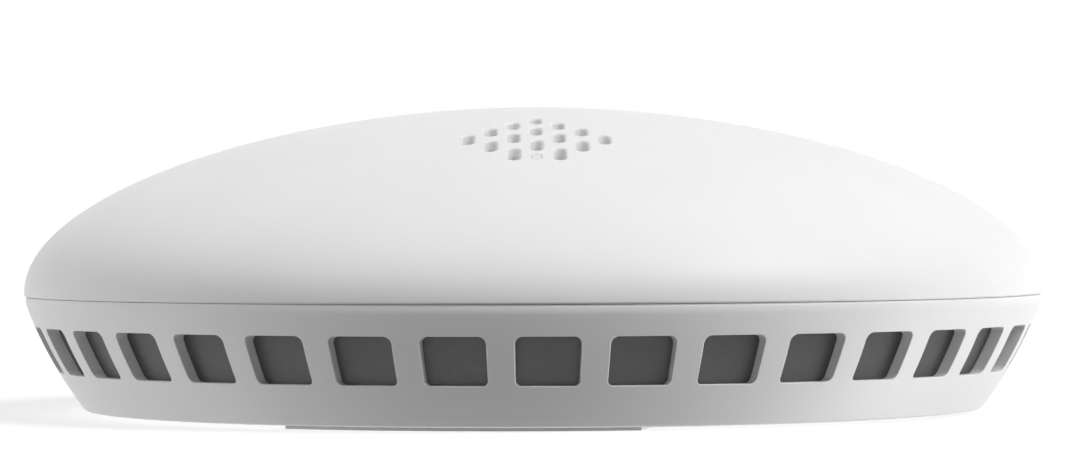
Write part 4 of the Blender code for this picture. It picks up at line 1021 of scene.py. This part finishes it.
def dress(finishes, new_pieces):
    """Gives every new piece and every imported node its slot's finish."""
    slots = {part["node"]: part["material_slot"] for part in frame["record"]["subparts"]}
    for name, node in frame["nodes"].items():
        node.data.materials.clear()
        node.data.materials.append(finishes[slots[name]])
    for piece in new_pieces:
        piece.data.materials.append(finishes[piece["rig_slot"]])


def soften_edges():
    """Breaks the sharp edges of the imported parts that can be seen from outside."""
    for name, width in (("mounting_bracket", 0.2), ("siren_horn", 0.1), ("power_switch_lever", 0.1)):
        bevel = frame["nodes"][name].modifiers.new("edges", "BEVEL")
        bevel.width = width * METRES
        bevel.segments = 2
        bevel.limit_method = "ANGLE"
        bevel.angle_limit = math.radians(40.0)


# ---- Light, floor and camera ----

# Three pairs of soft boxes stand round the object: high in front, level at its sides, and low behind, as a
# pale table throws light back. The right side is the brighter one.
# Turn from the front and elevation in degrees, then the strengths on the left and on the right.
SOFT_BOXES = (
    (60, 45, 3.0, 10.0),
    (90, 0, 2.0, 2.5),
    (120, -40, 4.0, 8.0),
)
BOX_WIDTH = 22  # half the angle that a soft box spans, in degrees
ROOM_GLOW = 0.2  # the even light between them
FLOOR_SIZE = 1.6  # metres, half the floor's width
FLOOR_DROP = 0.1  # keeps the floor clear of the bracket's flat back
FLOOR_TONE = 0.8
FLOOR_SEEN_TONE = 0.45  # what the camera sees: a tone that takes the shadow,
FLOOR_SEEN_GLOW = 0.66  # and a glow that brings it up to white


def make_floor():
    mesh = bpy.data.meshes.new("floor")
    bm = bmesh.new()
    bmesh.ops.create_grid(bm, x_segments=8, y_segments=8, size=FLOOR_SIZE)
    bm.to_mesh(mesh)
    bm.free()
    floor = bpy.data.objects.new("floor", mesh)
    bpy.context.scene.collection.objects.link(floor)
    floor.location.z = -FLOOR_DROP * METRES
    floor.visible_diffuse = floor.visible_glossy = floor.visible_transmission = False
    floor.visible_shadow = False
    material = bpy.data.materials.new("floor")
    material.use_nodes = True
    tree = material.node_tree
    tree.nodes.clear()
    add = tree.nodes.new
    out, mix = add("ShaderNodeOutputMaterial"), add("ShaderNodeMixShader")
    matt, seen, glow, both = (add("ShaderNodeBsdfDiffuse"), add("ShaderNodeBsdfDiffuse"),
                              add("ShaderNodeEmission"), add("ShaderNodeAddShader"))
    path = add("ShaderNodeLightPath")
    matt.inputs["Color"].default_value = (FLOOR_TONE, FLOOR_TONE, FLOOR_TONE, 1.0)
    seen.inputs["Color"].default_value = (FLOOR_SEEN_TONE, FLOOR_SEEN_TONE, FLOOR_SEEN_TONE, 1.0)
    glow.inputs["Strength"].default_value = FLOOR_SEEN_GLOW
    link = tree.links.new
    link(seen.outputs[0], both.inputs[0])
    link(glow.outputs[0], both.inputs[1])
    link(path.outputs["Is Camera Ray"], mix.inputs["Fac"])
    link(matt.outputs[0], mix.inputs[1])
    link(both.outputs[0], mix.inputs[2])
    link(mix.outputs[0], out.inputs["Surface"])
    mesh.materials.append(material)


def make_world():
    """Soft boxes and an even glow that light the object, and plain white for what is seen."""
    world = bpy.data.worlds.new("studio")
    bpy.context.scene.world = world
    world.use_nodes = True
    tree = world.node_tree
    tree.nodes.clear()
    add, link = tree.nodes.new, tree.links.new
    out, mix = add("ShaderNodeOutputWorld"), add("ShaderNodeMixShader")
    light, white = add("ShaderNodeBackground"), add("ShaderNodeBackground")
    path, spot = add("ShaderNodeLightPath"), add("ShaderNodeTexCoord")
    seen = path.outputs["Is Camera Ray"]
    for kind in ("Is Glossy Ray", "Is Transmission Ray"):
        most = add("ShaderNodeMath")
        most.operation = "MAXIMUM"
        link(seen, most.inputs[0])
        link(path.outputs[kind], most.inputs[1])
        seen = most.outputs[0]
    total = None
    boxes = [(FRONT + side * turn, elevation, strength)
             for turn, elevation, *strengths in SOFT_BOXES for side, strength in zip((-1, 1), strengths)]
    for azimuth, elevation, strength in boxes:
        flat = math.cos(math.radians(elevation))
        axis = (flat * math.cos(math.radians(azimuth)), flat * math.sin(math.radians(azimuth)),
                math.sin(math.radians(elevation)))
        near, glow, sums = add("ShaderNodeVectorMath"), add("ShaderNodeMapRange"), add("ShaderNodeMath")
        near.operation = "DOT_PRODUCT"
        near.inputs[1].default_value = axis
        glow.interpolation_type = "SMOOTHSTEP"
        glow.inputs["From Min"].default_value = math.cos(math.radians(BOX_WIDTH))
        glow.inputs["To Max"].default_value = strength
        link(spot.outputs["Generated"], near.inputs[0])
        link(near.outputs["Value"], glow.inputs["Value"])
        sums.inputs[1].default_value = ROOM_GLOW  # counts in the first sum only, where nothing is linked
        link(glow.outputs["Result"], sums.inputs[0])
        if total:
            link(total, sums.inputs[1])
        total = sums.outputs[0]
    link(total, light.inputs["Color"])
    white.inputs["Color"].default_value = (1.0, 1.0, 1.0, 1.0)
    link(seen, mix.inputs["Fac"])
    link(light.outputs[0], mix.inputs[1])
    link(white.outputs[0], mix.inputs[2])
    link(mix.outputs[0], out.inputs["Surface"])


def make_camera():
    """Level with the middle of the dome, a little to the left of the front."""
    swing, distance, height = math.radians(0.6), 571.8, RIM_Z + 9.87
    aim, pitch, roll = math.radians(0.09), 0.0043, -0.0035
    data = bpy.data.cameras.new("camera")
    data.sensor_width = 36.0
    data.lens = 146.07
    data.clip_start, data.clip_end = 0.01, 20.0
    camera = bpy.data.objects.new("camera", data)
    bpy.context.scene.collection.objects.link(camera)
    place = Vector((-math.sin(swing) * distance, -math.cos(swing) * distance, height))
    turn = swing + aim
    ahead = Vector((math.sin(turn) * math.cos(pitch), math.cos(turn) * math.cos(pitch), -math.sin(pitch)))
    right = ahead.cross(Vector((0, 0, 1))).normalized()
    up = right.cross(ahead)
    level = Matrix((right, up, -ahead)).transposed()
    camera.matrix_world = (Matrix.Translation(place * METRES)
                           @ (level @ Matrix.Rotation(roll, 3, "Z")).to_4x4())
    bpy.context.scene.camera = camera


def main():
    pieces = [make_cover(), make_button(), make_lens(), make_housing(), make_screen(), make_grip_lip()]
    dress(make_finishes(), pieces)
    soften_edges()
    make_floor()
    make_world()
    make_camera()
    bpy.context.scene.view_settings.view_transform = "Standard"


main()
